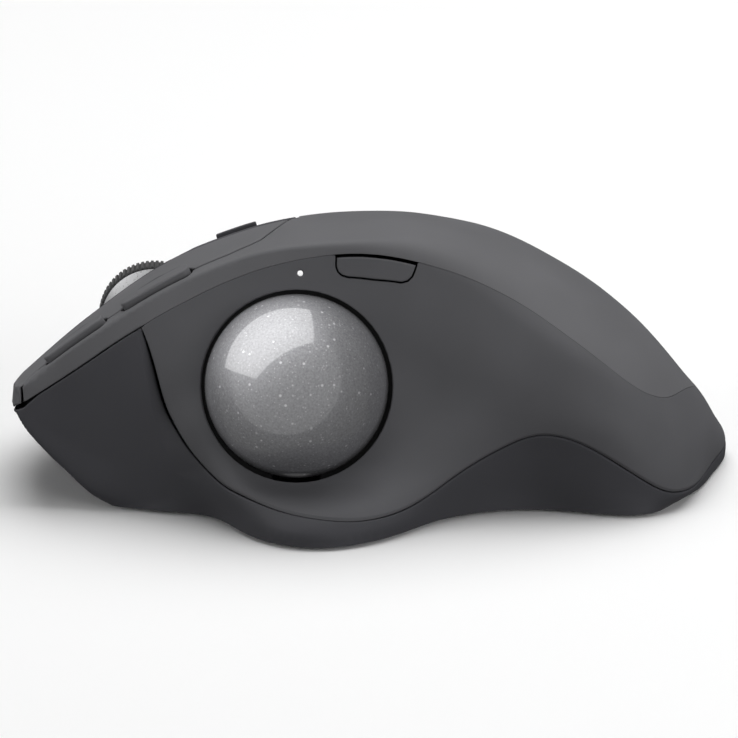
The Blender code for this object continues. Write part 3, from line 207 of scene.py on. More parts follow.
LIP = Ring([
    (-17.7, 66.1, 17.6), (-20.9, 65.5, 17.6), (-21.6, 64.1, 15.2), (-21.7, 61.8, 12.4), (-22, 57.3, 7.9),
    (-22.3, 53, 3.7), (-22.8, 49.8, 1.8), (-25.6, 40, 3.6), (-30.4, 33, 9), (-40.5, 23.4, 7.2),
    (-46.6, 13.7, 5.6), (-47.2, 5, 5.2), (-42.2, -4, 5.2), (-35.6, -12, 6.6), (-30, -20, 9.5),
    (-27.4, -32, 11), (-29.4, -43, 10.5), (-26.8, -54.1, 6), (-15.6, -61, 5.2), (4.4, -65.5, 4.2),
    (13, -66, 4.0), (22.4, -63.7, 3.8), (36.1, -55.4, 3.2), (44.9, -43.2, 3.2), (49.7, -19.5, 4),
    (49.9, 0, 4.4), (47, 19.5, 4.8), (42.8, 35.6, 6), (38, 46.6, 8.4), (32.6, 55.1, 11.4), (21.2, 61.5, 12),
    (10.2, 65, 12.4), (0, 65.9, 13.7), (-12, 66.3, 16.4),
])
CHIN = Ring([
    (-17.4, 64.1, 15.6), (-20.2, 63.8, 15.6), (-20.8, 62.7, 13.6), (-20.9, 60.6, 10.8), (-21.2, 56.3, 6.5),
    (-21.5, 52.2, 2.6), (-22.2, 49.1, 0.9), (-25.2, 40, 1.6), (-28.6, 33, 3.6), (-41, 23, 3.6),
    (-49.2, 14, 2.6), (-49, 5, 2.4), (-43.2, -4, 2.4), (-34.2, -12, 3), (-28, -20, 4), (-25.6, -32, 4.6),
    (-28.4, -43, 4.6), (-26.4, -54.2, 2.8), (-15.2, -61, 2.4), (4.6, -65.4, 2.0), (13, -66.3, 1.8),
    (22.6, -64.3, 1.7), (36, -55.3, 1.4), (44.8, -43, 1.4), (49.7, -19.6, 1.8), (49.8, 0, 2),
    (46.8, 19.5, 2.2), (42, 35.4, 3), (36.6, 45.2, 5), (31.6, 53.2, 8.6), (20.8, 59.2, 9.6), (10, 62.6, 10),
    (0, 63.6, 11.2), (-12, 64.2, 13.9),
])
BASE = Ring([
    (-17, 48.5), (-21, 48.3), (-23.7, 43.8), (-25.6, 38.6), (-27.8, 31.4), (-32.6, 27), (-40.4, 23),
    (-46.2, 18.4), (-49.6, 12), (-49.6, 7), (-46, 0), (-40.2, -5.8), (-33.6, -11), (-28.8, -16.5),
    (-25.6, -23), (-24.4, -30), (-25.6, -37), (-28, -45), (-27.4, -51.6), (-23, -55), (-12.3, -60.4),
    (-5, -62.7), (6.6, -65.4), (13, -66.2), (22, -64.6), (35, -56), (44, -43.5), (49, -28), (49.4, -8),
    (47.4, 10), (43.4, 27), (38.2, 38), (30, 45.5), (18, 48.4), (0, 48.8),
])
LOWER_RINGS = [HIGH, MID, FOOT, LIP, CHIN, BASE]
CREASE_BLEND = Spline(  # half width of the rounding at the crease, along each ray
    np.radians([90, 112, 130, 150, 180, 203, 225, 270, 315, 360, 405, 430]),
    [0.8, 0.7, 0.7, 0.8, 1.6, 6.0, 9.0, 8.0, 9.5, 11.0, 7.0, 1.6],
    2 * math.pi,
)


def wall_knots(angle):
    """Distance from the spine, height and length down the wall at each ring, along these rays."""
    rho = [CREASE(angle)[0]]
    height = [top_z(plan_of(angle, rho[0]))]
    for ring in LOWER_RINGS:
        far, z = ring(angle)
        rho.append(far)
        height.append(z)
    points = np.stack([np.array(rho), np.array(height)], -1)
    runs = np.linalg.norm(np.diff(points, axis=0), axis=-1)
    return points, np.concatenate([np.zeros((1, len(angle))), np.cumsum(runs, axis=0)])


def wall_point(points, length, down):
    """(distance, height) on the wall at this length down it, a smooth curve through the rings."""
    slope = np.diff(points, axis=0) / np.diff(length, axis=0)[..., None]
    step = np.diff(length, axis=0)[..., None]
    inner = (slope[:-1] * step[1:] + slope[1:] * step[:-1]) / (step[:-1] + step[1:])
    tangent = np.concatenate([slope[:1], inner, slope[-1:]])
    down = np.clip(down, 0, length[-1])
    i = np.clip((down[None] >= length).sum(axis=0) - 1, 0, len(length) - 2)
    column = np.arange(len(down))
    h = (length[i + 1, column] - length[i, column])[:, None]
    t = (down - length[i, column])[:, None] / h
    return (
        (2 * t**3 - 3 * t**2 + 1) * points[i, column]
        + (t**3 - 2 * t**2 + t) * h * tangent[i, column]
        + (3 * t**2 - 2 * t**3) * points[i + 1, column]
        + (t**3 - t**2) * h * tangent[i + 1, column]
    )


def skin(q):
    """Skin points for points q of the unrolled plan."""
    angle, radius = ray_of(q[:, 0], q[:, 1])
    points, length = wall_knots(angle)
    crease = points[0, :, 0]
    past = radius - crease
    w = CREASE_BLEND(angle)
    near = np.clip(past, -w, w)
    inner = np.minimum(past, -w) + w - (w - near) ** 2 / (4 * w)
    outer = np.maximum(past, w) - w + (w + near) ** 2 / (4 * w)
    side = wall_point(points, length, outer)
    top = top_z(plan_of(angle, crease + inner))
    plan = plan_of(angle, side[:, 0] + inner)
    return np.column_stack([plan, top + side[:, 1] - points[0, :, 1]])


SLOPE_STEP = 0.02  # distance over which the skin's slope is measured


def skin_frame(q, bend=None):
    """Skin points, and their two derivatives over the plan; bend may reshape the skin first."""
    surface = (lambda at: bend(skin(at))) if bend else skin
    east, north = np.array([SLOPE_STEP, 0]), np.array([0, SLOPE_STEP])
    along_x = (surface(q + east) - surface(q - east)) / (2 * SLOPE_STEP)
    along_y = (surface(q + north) - surface(q - north)) / (2 * SLOPE_STEP)
    return surface(q), along_x, along_y


def skin_normal(along_x, along_y):
    normal = np.cross(along_x, along_y)
    return normal / np.maximum(np.linalg.norm(normal, axis=1), TINY)[:, None]


def rim_radius(angle):
    """How far from the spine the plan ends, at the foot of the wall."""
    points, length = wall_knots(angle)
    return points[0, :, 0] + length[-1]


# ---------------------------------------------------------------- placing lines on the skin
SKETCH = np.array([[0, 1, 0], [math.sin(SKETCH_TILT), 0, math.cos(SKETCH_TILT)]])
SKETCH_ORIGIN = np.array([-50.0, 0, LIFT])
SEED_TURN, SEED_SHARES = 2.0, np.linspace(0.04, 0.995, 70)  # degrees, shares of the way out
FACING_LEAST = 0.03  # skin that leans further from the sketch plane than this is not drawn on
STEADY = np.eye(2) * 1e-6  # keeps a flat system solvable
SETTLE_STEPS, SETTLE_REACH = 12, 1.5


def seed_points():
    """A coarse cover of the plan, with its skin points and facing, from which a search starts."""
    angle = np.radians(np.arange(0, 360, SEED_TURN))
    rim = rim_radius(angle)
    q = np.concatenate([plan_of(angle, rim * share) for share in SEED_SHARES])
    p, along_x, along_y = skin_frame(q)
    return q, p, skin_normal(along_x, along_y) @ OUTWARD


SEED_Q, SEED_P, SEED_FACING = seed_points()


def settle(q, targets, view):
    """Moves plan points until the skin there, seen through view, meets the targets."""
    for _ in range(SETTLE_STEPS):
        p, along_x, along_y = skin_frame(q)
        jacobian = np.stack([along_x @ view.T, along_y @ view.T], -1)
        miss = targets - p @ view.T
        square = np.einsum("nki,nkj->nij", jacobian, jacobian) + STEADY
        pull = np.einsum("nki,nk->ni", jacobian, miss)
        q = q + np.clip(np.linalg.solve(square, pull[..., None])[..., 0], -SETTLE_REACH, SETTLE_REACH)
    return q


def from_sketch(points):
    """Plan points whose skin lies behind these (y, height) points of the thumb-side sketch plane."""
    targets = np.array(points, float) + SKETCH @ SKETCH_ORIGIN
    seen = SEED_FACING > FACING_LEAST
    gap = np.linalg.norm((SEED_P[seen] @ SKETCH.T)[None] - targets[:, None], axis=2)
    return settle(SEED_Q[seen][gap.argmin(axis=1)], targets, SKETCH)


def from_space(points):
    """Plan points whose skin is nearest to these (x, y, z) points."""
    targets = np.array(points, float) + [0, 0, LIFT]
    gap = np.linalg.norm(SEED_P[None] - targets[:, None], axis=2)
    return settle(SEED_Q[gap.argmin(axis=1)], targets, np.eye(3))


def from_top(points):
    """Plan points of these (x, y) points of the top."""
    plan = np.array(points, float)
    return from_space(np.column_stack([plan, top_z(plan) - LIFT]))


def smooth(controls, step=LINE_STEP, closed=False):
    """A curve through plan points, at even steps. An open one keeps both its ends."""
    controls = np.array(controls, float)
    if closed:
        controls = np.vstack([controls, controls[:1]])
    run = np.append(0, np.cumsum(np.linalg.norm(np.diff(controls, axis=0), axis=1)))
    if closed:
        curve = Spline(run[:-1], controls[:-1], run[-1])
    else:
        curve = Spline(run, controls)
    count = max(2, round(run[-1] / step) + 1)
    line = curve(np.linspace(0, run[-1], count))
    return line[:-1] if closed else line


def join(*lines):
    """One closed loop of lines that meet end to end."""
    return np.concatenate([line[:-1] for line in lines])


def signed_area(loop):
    x, y = loop.T
    return 0.5 * np.sum(x * np.roll(y, -1) - np.roll(x, -1) * y)


def turned_left(directions):
    """Plan directions turned a quarter to the left."""
    return np.stack([-directions[:, 1], directions[:, 0]], -1)


def unit(directions):
    return directions / np.linalg.norm(directions, axis=1)[:, None]


def outline_side(outline):
    """Unit vectors to the left of a closed outline, which is inwards if it runs anticlockwise."""
    return turned_left(unit(np.roll(outline, -1, axis=0) - np.roll(outline, 1, axis=0)))


SHARPEST_CORNER = 0.4  # a loop's corner moves at most 1 / this times as far as its sides


def shrink(loop, distance):
    """The loop moved inwards by this distance along the skin."""
    if signed_area(loop) < 0:
        loop, distance = loop[::-1], np.flip(distance)
    _, along_x, along_y = skin_frame(loop)
    both = np.stack([along_x, along_y], -1)
    metric = np.einsum("nki,nkj->nij", both, both) + STEADY
    lower = np.linalg.cholesky(metric)
    ahead = unit(np.einsum("nji,nj->ni", lower, np.roll(loop, -1, axis=0) - loop))
    behind = unit(np.einsum("nji,nj->ni", lower, loop - np.roll(loop, 1, axis=0)))
    bisector = turned_left(ahead + behind)
    bisector /= np.linalg.norm(bisector, axis=1)[:, None] + TINY
    reach = 1 / np.clip((bisector * turned_left(ahead)).sum(axis=1), SHARPEST_CORNER, 1)
    shift = bisector * (reach * distance)[:, None]
    return loop + np.linalg.solve(lower.transpose(0, 2, 1), shift[..., None])[..., 0]


def grow(loop, distance):
    return shrink(loop, -distance)


# ---------------------------------------------------------------- meshes
def within(points, loop):
    """Which points lie inside the loop."""
    odd = np.zeros(len(points), bool)
    x, y = points.T
    for (x0, y0), (x1, y1) in zip(loop, np.roll(loop, -1, axis=0)):
        if y0 != y1:
            odd ^= ((y0 > y) != (y1 > y)) & (x < (x1 - x0) * (y - y0) / (y1 - y0) + x0)
    return odd


def inside(points, loops):
    """Which points lie inside the first loop and outside the others."""
    found = within(points, loops[0])
    for hole in loops[1:]:
        found &= ~within(points, hole)
    return found


def largest_piece(faces, count):
    """The faces of the biggest connected piece: a pinched corner can leave a crumb beside it."""
    group = np.arange(count)
    while True:
        low = group[faces].min(axis=1)
        before = group.copy()
        for corner in faces.T:
            np.minimum.at(group, corner, low)
        if (group == before).all():
            break
    label = group[faces[:, 0]]
    return faces[label == np.bincount(label).argmax()]


def tree_of(points):
    """A tree that finds the nearest of these plan points."""
    tree = KDTree(len(points))
    for i, (x, y) in enumerate(points):
        tree.insert((x, y, 0), i)
    tree.balance()
    return tree


def triangulate(lines, extra, walls):
    """Plan triangles between the walls, through every line, and the input point that each point came from."""
    points = np.concatenate([*lines, extra])
    edges, start = [], 0
    for line in lines:
        count = len(line)
        edges += [(start + i, start + (i + 1) % count) for i in range(count)]
        start += count
    verts, _, faces, source, *_ = delaunay_2d_cdt([Vector(p) for p in points], edges, [], 0, 1e-6)
    verts = np.array([tuple(v) for v in verts])
    tree = tree_of(points)
    origin = np.array([came[0] if came else tree.find((*verts[i], 0))[1] for i, came in enumerate(source)])
    faces = np.array(faces)
    faces = faces[inside(verts[faces].mean(axis=1), walls)]
    a, b, c = verts[faces].transpose(1, 0, 2)
    turn = (b[:, 0] - a[:, 0]) * (c[:, 1] - a[:, 1]) - (b[:, 1] - a[:, 1]) * (c[:, 0] - a[:, 0])
    faces[turn < 0] = faces[turn < 0][:, ::-1]
    faces = largest_piece(faces, len(verts))
    used = np.unique(faces)
    place = np.full(len(verts), -1)
    place[used] = np.arange(len(used))
    return verts[used], place[faces], origin[used]


CREASE_ROWS = (-2.6, -1.95, -1.3, -0.75, -0.35, 0, 0.35, 0.75, 1.3, 1.95, 2.6)  # distances past the crease
CREASE_BAND = 2.6 + SPACING / 2
AROUND, FINE_AROUND, WALL_RUN = 400, 1300, 44  # lengths in steps of SPACING: plain and close rings, the wall
CHIN_SHARES = (0.25, 0.5, 0.75)
PLAN_X, PLAN_Y = 60, 80  # the whole plan lies within these
ROW_SHARE = 0.87  # row spacing of a grid of even triangles


def full_turn(count):
    return np.linspace(0, 2 * math.pi, count, endpoint=False)


def lattice():
    """Plan points spread over the whole skin at about SPACING, closer at the crease, the lip and the chin."""
    angle = full_turn(int(AROUND / SPACING))
    points, length = wall_knots(angle)
    crease = points[0, :, 0]
    lip, chin, rim = length[-3:]
    reaches = [crease + down for down in CREASE_ROWS]
    shares = np.linspace(0, 1, int(WALL_RUN / SPACING))
    reaches += [crease + CREASE_BAND + share * (lip - CREASE_BAND) for share in shares]
    reaches += [crease + chin + share * (rim - chin) for share in CHIN_SHARES]
    rings = [plan_of(angle, reach) for reach in reaches]
    fine = full_turn(int(FINE_AROUND / SPACING))
    points, length = wall_knots(fine)
    lip, chin = length[-3:-1]
    rings += [plan_of(fine, points[0, :, 0] + down) for down in (lip - 0.6, lip, lip + 0.6, chin - 0.5, chin)]
    x, y = np.meshgrid(np.arange(-PLAN_X, PLAN_X, SPACING), np.arange(-PLAN_Y, PLAN_Y, SPACING * ROW_SHARE))
    x = x + (np.arange(len(y))[:, None] % 2) * SPACING / 2
    flat = np.stack([x.ravel(), y.ravel()], -1)
    at, radius = ray_of(flat[:, 0], flat[:, 1])
    return np.concatenate([*rings, flat[radius < CREASE(at)[0] - CREASE_BAND]])


LATTICE = lattice()


def boundary_edges(faces):
    ends = np.concatenate([faces[:, [0, 1]], faces[:, [1, 2]], faces[:, [2, 0]]])
    taken = set(map(tuple, ends))
    return [(a, b) for a, b in taken if (b, a) not in taken]


# ---------------------------------------------------------------- seams
def resample_corner(points, step=LINE_STEP):
    """A line of straight runs between plan points, at even steps."""
    runs = []
    for a, b in zip(points, points[1:]):
        count = max(1, round(np.linalg.norm(np.subtract(b, a)) / step))
        runs.append(np.linspace(a, b, count, endpoint=False))
    return np.vstack([*runs, points[-1]])


def curve(*parts):
    """A smooth seam through runs of plan points."""
    return smooth(np.concatenate(parts))


def chain(*parts, step=LINE_STEP):
    """A seam of straight runs between plan points."""
    return resample_corner(np.concatenate(parts), step)


STRIP_X = (-3.4, 9.4)  # centre strip between the two buttons
STRIP_REAR = 13.5

PANEL_FRONT = [  # (y, height) down the thumb panel's front edge and on under the ball
    (42.4, 40.7), (40.4, 35.2), (39.1, 30.3), (37.6, 25.4), (35.6, 21.4), (32.6, 16.9), (28.9, 12.9),
    (25, 10.2), (20.6, 8.3), (13, 6.0),
]
front_corner = from_sketch([(64.4, 26.4)])
panel_corner = from_sketch(PANEL_FRONT[:1])
rear_joint = from_space([(43.5, -45.5, 3.9)])
front_marks = from_space([(STRIP_X[0], 66.4, 14.5), (STRIP_X[1], 65.1, 12.4), (27, 58.3, 11.7)])

strip_seam = curve(front_corner, from_sketch([(58.3, 30.3), (51.1, 35.1)]), panel_corner)
lower_seam = curve(
    panel_corner,
    from_sketch([
        *PANEL_FRONT[1:], (5.2, 5.0), (-3.5, 6.0), (-9.3, 8.5), (-16, 13.2), (-20.5, 16.1), (-25, 18.5),
        (-32.6, 20.6), (-38, 19.4), (-42.9, 17), (-49.5, 13), (-54, 10.6), (-59, 10.6),
    ]),
    from_space([(-4, -63.2, 2.6), (8, -65.7, 2.6), (22, -64, 2.8), (34, -56.5, 3.2)]),
    rear_joint,
)
right_seam = curve(
    rear_joint,
    from_space([
        (48.8, -28, 5), (49.6, -8, 6), (48, 12, 7.4), (44.6, 29, 9), (39.6, 42.5, 10.4), (33.5, 53, 11.4),
    ]),
    front_marks[2:],
)
nose_right = curve(front_marks[2:], from_space([(19, 62, 12)]), front_marks[1:2])
nose_middle = curve(front_marks[1:2], from_space([(3, 66, 13.3)]), front_marks[:1])
nose_left = curve(
    front_marks[:1],
    from_space([(-9, 66.5, 15.7), (-15.5, 66.4, 17.2), (-19.6, 66, 18.2)]),
    front_corner,
)
upper_seam = curve(
    panel_corner,
    from_sketch([
        (38.6, 43.1), (34.8, 45.1), (28.8, 48.1), (22.7, 50.6), (16.7, 52.4), (9.3, 53.8), (0, 54.2),
        (-8.9, 52.7), (-16, 50.6), (-21.4, 48.4), (-29.5, 44), (-38.4, 37.7), (-44, 33.4), (-49.5, 29.4),
        (-53.6, 27.8), (-58, 29.1),
    ]),
    from_space([(8, -61.8, 15.6), (21, -59, 12.6), (33, -53, 8.6)]),
    rear_joint,
)

BARS = ((33.3, 45.6), (49.1, 59.7))  # forward and back buttons, along Y
BAR_HALF, BAR_CORNER = 1.6, 1.3


def rounded_box(low, high, radius, steps=4):
    """Corner points of a plan rectangle with round corners."""
    (x0, y0), (x1, y1) = (np.array(low) + radius).tolist(), (np.array(high) - radius).tolist()
    points = []
    for cx, cy, start in ((x1, y1, 0), (x0, y1, 90), (x0, y0, 180), (x1, y0, 270)):
        for i in range(steps + 1):
            a = math.radians(start + 90 * i / steps)
            points.append((cx + radius * math.cos(a), cy + radius * math.sin(a)))
    return points


def bar_x(y):
    """Middle of the back and forward buttons, beside the crease."""
    return float(np.interp(y, [30, 40, 50, 62], [-18.6, -19.3, -19.2, -18.6]))


def button_seam(side):
    """The left button's outer seam from the nose to its rear, stepping round the two bars.

    side is +1 on the button's edge and -1 on the shell's edge."""
    marks = [(bar_x(62.3), 62.3)]
    for low, high in reversed(BARS):
        half = BAR_HALF + GAP
        box = rounded_box((-half, low - GAP), (half, high + GAP), BAR_CORNER + GAP)
        front = [p for p in box if p[0] > 0]
        path = front[:5][::-1] + front[5:][::-1]
        marks += [(bar_x(y) + side * x, y) for x, y in [(0, high + GAP), *path, (0, low - GAP)]]
    top = from_top(marks)
    rear = from_sketch([(30.5, 52.5), (26.3, 54.2), (22, 56.1), (20.2, 57), (18.5, 58.3), (16.9, 59.5)])
    top = np.concatenate([top, rear, from_top([(STRIP_X[0], 14.9)])])
    drop = from_sketch([(64.5, 28.6), (64.2, 30.3)])
    return chain(front_corner, drop, top)


left_seams = {side: button_seam(side) for side in (1, -1)}
rear_left = left_seams[1][-1:]
right_top = from_top([
    (28.2, 54), (31.4, 46), (32.4, 37), (31.6, 28), (27.5, 20.5), (20, 15.6), (STRIP_X[1], 13.6),
])
right_button_seam = curve(front_marks[2:], right_top)
strip_rear_seam = chain(rear_left, from_top([(-2, STRIP_REAR), (8, STRIP_REAR)]), right_top[-1:])
strip_left_seam = chain(
    rear_left, from_top([(STRIP_X[0], y) for y in (30, 45, 58, 64.4)]), front_marks[:1]
)
strip_right_seam = chain(
    right_top[-1:], from_top([(STRIP_X[1], y) for y in (30, 45, 58, 63)]), front_marks[1:2]
)


def bar_loop(low, high):
    """Outline of a back or forward button, on the plan."""
    box = np.array(rounded_box((-BAR_HALF, low), (BAR_HALF, high), BAR_CORNER))
    return from_top([(x + bar_x(y), y) for x, y in box])


def disc(centre, radius, steps):
    angle = full_turn(steps)
    return np.stack([centre[0] + radius * np.cos(angle), centre[1] + radius * np.sin(angle)], -1)


SLOT_BOX, CHANNEL_BOX, BOX_CORNER = ((-1.9, 33.4), (7.9, 52.6)), ((0.0, 21.0), (6.0, 28.4)), 1.6
LIGHT_SPOT = (12.9, 50.7)
LIGHT_RADIUS = 0.53
wheel_slot, channel_loop = (from_top(rounded_box(*box, BOX_CORNER)) for box in (SLOT_BOX, CHANNEL_BOX))
bar_loops = [bar_loop(*ends) for ends in BARS]
precision_low = from_sketch([
    (6.1, 53.56), (6.15, 52.0), (5.8, 51.0), (5.1, 50.4), (4.1, 50.1), (-1, 49.6), (-5.8, 49.1), (-6.9, 49.4),
    (-7.7, 50.2), (-8.1, 51.2), (-8.4, 52.14),
])
precision_top = from_sketch([(-8.4, 52.14), (-3.6, 53.17), (1.6, 53.68), (6.1, 53.56)])
precision_above = from_sketch([(-8.9, 54.2), (-1, 56.2), (6.6, 55.8)])
precision_loop = join(resample_corner(precision_low, 0.5), resample_corner(precision_top, 0.8))
precision_notch = chain(precision_low, precision_above, precision_low[:1], step=0.5)[:-1]
BALL_SKETCH_HEIGHT = 29.91
ball_loop = from_sketch(disc((BALL_CENTRE[1], BALL_SKETCH_HEIGHT), BALL_OPENING, 56))
light_loop = from_sketch(disc(LIGHT_SPOT, LIGHT_RADIUS + 0.06, 32))


SCREW_SPOTS = [(-14, 27), (26, 25), (-12, -44), (24, -38)]
SOCKET_LOW, SOCKET_HIGH = np.array([-0.7, 49.5, 8.6]), np.array([6.7, 57.2, 11.4])
SLIDER_CENTRE = np.array([12.0, 41.0])
SLIDER_TRAVEL, KNOB_HALF = 3.5, 2.45
EJECT_RADIUS = 4.0
BUTTON_TRAVEL, SWITCH_NUB = 1.1, 0.9  # room over each button's switch, and its nub
SWITCHES = {"left": (-11, 52.5, 20.5), "right": (15, 51.5, 17.8)}  # x, y and top of each main button's switch
BEARING_RADIUS, BEARING_DISTANCE = 1.25, 18.55


# ---------------------------------------------------------------- fine pieces of the skin
# (inset, depth) from an edge's wall in to the flat: a plain edge, the thumb panel's lower lip, a close seam
PLAIN_EDGE = np.array([(0, 0.30), (0.05, 0.14), (0.15, 0.04), (0.32, 0.0)])
LIP_EDGE = np.array([(0, 0.42), (0.06, 0.24), (0.50, 0.04), (0.66, 0.0)])
TIGHT_EDGE = np.array([(0, 0.08), (0.015, 0.035), (0.04, 0.01), (0.08, 0.0)])
EDGE_LEAN = np.radians([78, 55, 24, 0])
LIP_LEAN = np.radians([75, 32, 26, 0])
WALL = 1.2  # casing thickness that shows inside the openings
CLEARANCE = 0.5 * SPACING  # between the lattice's points and an edge line


def edge_rows(loop, share, gap, sign):
    """Loops of one panel edge, from its wall in to the flat skin, each with its depth and lean."""
    lip, tight = np.maximum(share, 0)[:, None], np.maximum(-share, 0)[:, None]
    rows = []
    for k in range(len(PLAIN_EDGE)):
        row = PLAIN_EDGE[k] + (LIP_EDGE[k] - PLAIN_EDGE[k]) * lip + (TIGHT_EDGE[k] - PLAIN_EDGE[k]) * tight
        inset, depth = row.T
        lean = EDGE_LEAN[k] + (LIP_LEAN[k] - EDGE_LEAN[k]) * lip[:, 0]
        rows.append((shrink(loop, sign * (gap + inset)), depth, lean))
    return rows


def fine_fill(walls, blockers):
    """Lattice points inside the first wall loop and outside the others, clear of every edge line."""
    keep = LATTICE[inside(LATTICE, walls)]
    tree = tree_of(blockers)
    far = [tree.find((x, y, 0))[2] > CLEARANCE for x, y in keep]
    return keep[np.array(far, bool)]


def placed(name, data):
    """A new object in the scene with this mesh, lamp or camera."""
    made = bpy.data.objects.new(name, data)
    bpy.context.scene.collection.objects.link(made)
    return made


def shaded_mesh(name, verts, faces, corner_normals):
    """A mesh object from millimetre points, with a normal given for each face corner."""
    mesh = bpy.data.meshes.new(name)
    mesh.from_pydata((np.asarray(verts) * MM).tolist(), [], [list(map(int, f)) for f in faces])
    mesh.update()
    mesh.shade_smooth()
    mesh.normals_split_custom_set(np.asarray(corner_normals).tolist())
    return placed(name, mesh)


def skin_piece(name, edge, holes=(), raised=0.0, thick=WALL, bend=None, skirt=None, ridge=None):
    """A closed panel with rounded edges. The edge and each hole are (loop, half gap, lip share) of a seam.

    Each row is a line on the plan, with the depth, lean and way out (x, y, z) of each of its points."""
    rows = [] if skirt is None else [(skirt, np.zeros((len(skirt), 5)))]
    walls = [line for line, _ in rows]
    for sign, (loop, gap, share) in [(1, edge)] * (edge is not None) + [(-1, hole) for hole in holes]:
        gap, share = (np.broadcast_to(v, len(loop)) for v in (gap, share))
        if signed_area(loop) < 0:
            loop, gap, share = loop[::-1], gap[::-1], share[::-1]
        made = edge_rows(loop, share, gap, sign)
        walls.append(made[0][0])
        reach = skin(made[0][0]) - skin(made[-1][0])
        rows += [(line, np.column_stack([depth, lean, reach])) for line, depth, lean in made]
    lines = [line for line, _ in rows]
    marks = np.zeros((0, 2)) if ridge is None else ridge
    extra = np.concatenate([marks, fine_fill(walls, np.concatenate([*lines, marks]))])
    q, faces, origin = triangulate(lines, extra, walls)
    shape = np.concatenate([*[values for _, values in rows], np.zeros((len(extra), 5))])[origin]
    depth, lean, outward = shape[:, 0], shape[:, 1], np.ascontiguousarray(shape[:, 2:])
    p, along_x, along_y = skin_frame(q, bend)
    flat = skin_normal(along_x, along_y)
    outward -= flat * (outward * flat).sum(axis=1)[:, None]
    outward /= np.linalg.norm(outward, axis=1)[:, None] + TINY
    count = len(q)
    thick = np.broadcast_to(thick(p) if callable(thick) else thick, count)[:, None]
    outer = p + flat * (raised - depth)[:, None]
    inner = p - flat * (thick - raised)
    normal = flat * np.cos(lean)[:, None] + outward * np.sin(lean)[:, None]
    wall_normal = outward.copy()
    if skirt is not None:
        rim = np.flatnonzero(origin < len(skirt))
        outer[rim, 2] = LIFT
        inner[:, 2] = np.maximum(inner[:, 2], LIFT)
        inner[rim] = outer[rim]
        inner[rim, :2] -= unit(flat[rim, :2]) * WALL
        wall_normal[rim] = (0, 0, -1)
    sides = np.array([(b, a, a + count, b + count) for a, b in boundary_edges(faces)])
    all_faces = faces.tolist() + (faces[:, ::-1] + count).tolist() + sides.tolist()
    corners = [normal[faces], -flat[faces[:, ::-1]], wall_normal[sides % count]]
    corners = np.concatenate([part.reshape(-1, 3) for part in corners])
    return shaded_mesh(name, np.concatenate([outer, inner]), all_faces, corners)


# ---------------------------------------------------------------- turned and boxed pieces
SHARP = 30  # degrees; edges sharper than this are not shaded smooth


def shade_edges(mesh, sharp=SHARP):
    mesh.shade_smooth()
    mesh.set_sharp_from_angle(angle=math.radians(sharp))


def finish_mesh(name, made, sharp=SHARP):
    """An object from an edited mesh, with its faces turned outwards."""
    mesh = bpy.data.meshes.new(name)
    bmesh.ops.recalc_face_normals(made, faces=made.faces)
    made.to_mesh(mesh)
    made.free()
    shade_edges(mesh, sharp)
    return placed(name, mesh)


def turned(name, profile, centre, axis, steps=96, closed=True, shape=None, sharp=SHARP):
    """A solid turned from (radius, height) points about an axis; shape may move the points first."""
    turn = np.array(Vector(axis).normalized().to_track_quat("Z", "Y").to_matrix())
    profile = np.array(profile, float)
    angle = full_turn(steps)
    radius, height = profile.T[..., None]
    ring = np.stack([radius * np.cos(angle), radius * np.sin(angle), height + 0 * angle], -1)
    if shape:
        ring = shape(ring, angle)
    verts, index = [], []
    on_axis = radius[:, 0] < 1e-6
    for row, single in zip(ring, on_axis):
        index.append([len(verts)] * steps if single else list(range(len(verts), len(verts) + steps)))
        verts += list(row[:1] if single else row)
    pairs = list(zip(index, index[1:]))
    if closed and not on_axis[0] and not on_axis[-1]:
        pairs.append((index[-1], index[0]))
    faces = []
    for low, high in pairs:
        for i in range(steps):
            j = (i + 1) % steps
            faces.append(list(dict.fromkeys([low[i], low[j], high[j], high[i]])))
    points = np.array(verts) @ turn.T + np.array(centre)
    mesh = bpy.data.meshes.new(name)
    mesh.from_pydata((points * MM).tolist(), [], faces)
    made = bmesh.new()
    made.from_mesh(mesh)
    bpy.data.meshes.remove(mesh)
    return finish_mesh(name, made, sharp)


def bar(name, radius, start, end, steps=48, edge=0.15):
    """A round bar with its end edges broken."""
    start, end = np.array(start, float), np.array(end, float)
    far = np.linalg.norm(end - start)
    edge = min(edge, radius * 0.4)
    flat = radius - edge
    profile = [(0, 0), (flat, 0), (radius, edge), (radius, far - edge), (flat, far), (0, far)]
    return turned(name, profile, start, end - start, steps)


def arc(radius, start, end, steps):
    """(distance from the axis, height) points on a sphere, from one polar angle to another, in degrees."""
    angles = np.radians(np.linspace(start, end, steps))
    return [(radius * math.sin(a), radius * math.cos(a)) for a in angles]


def box_piece(name, low, high, bevel=0.3, segments=3):
    """A box between two corners, with its edges rounded."""
    low, high = np.array(low, float), np.array(high, float)
    made = bmesh.new()
    bmesh.ops.create_cube(made, size=1)
    bmesh.ops.scale(made, vec=((high - low) * MM).tolist(), verts=made.verts)
    bmesh.ops.translate(made, vec=((low + high) / 2 * MM).tolist(), verts=made.verts)
    if bevel:
        bmesh.ops.bevel(
            made, geom=list(made.edges), offset=bevel * MM, segments=segments, profile=0.5, affect="EDGES",
            clamp_overlap=True,
        )
    return finish_mesh(name, made)


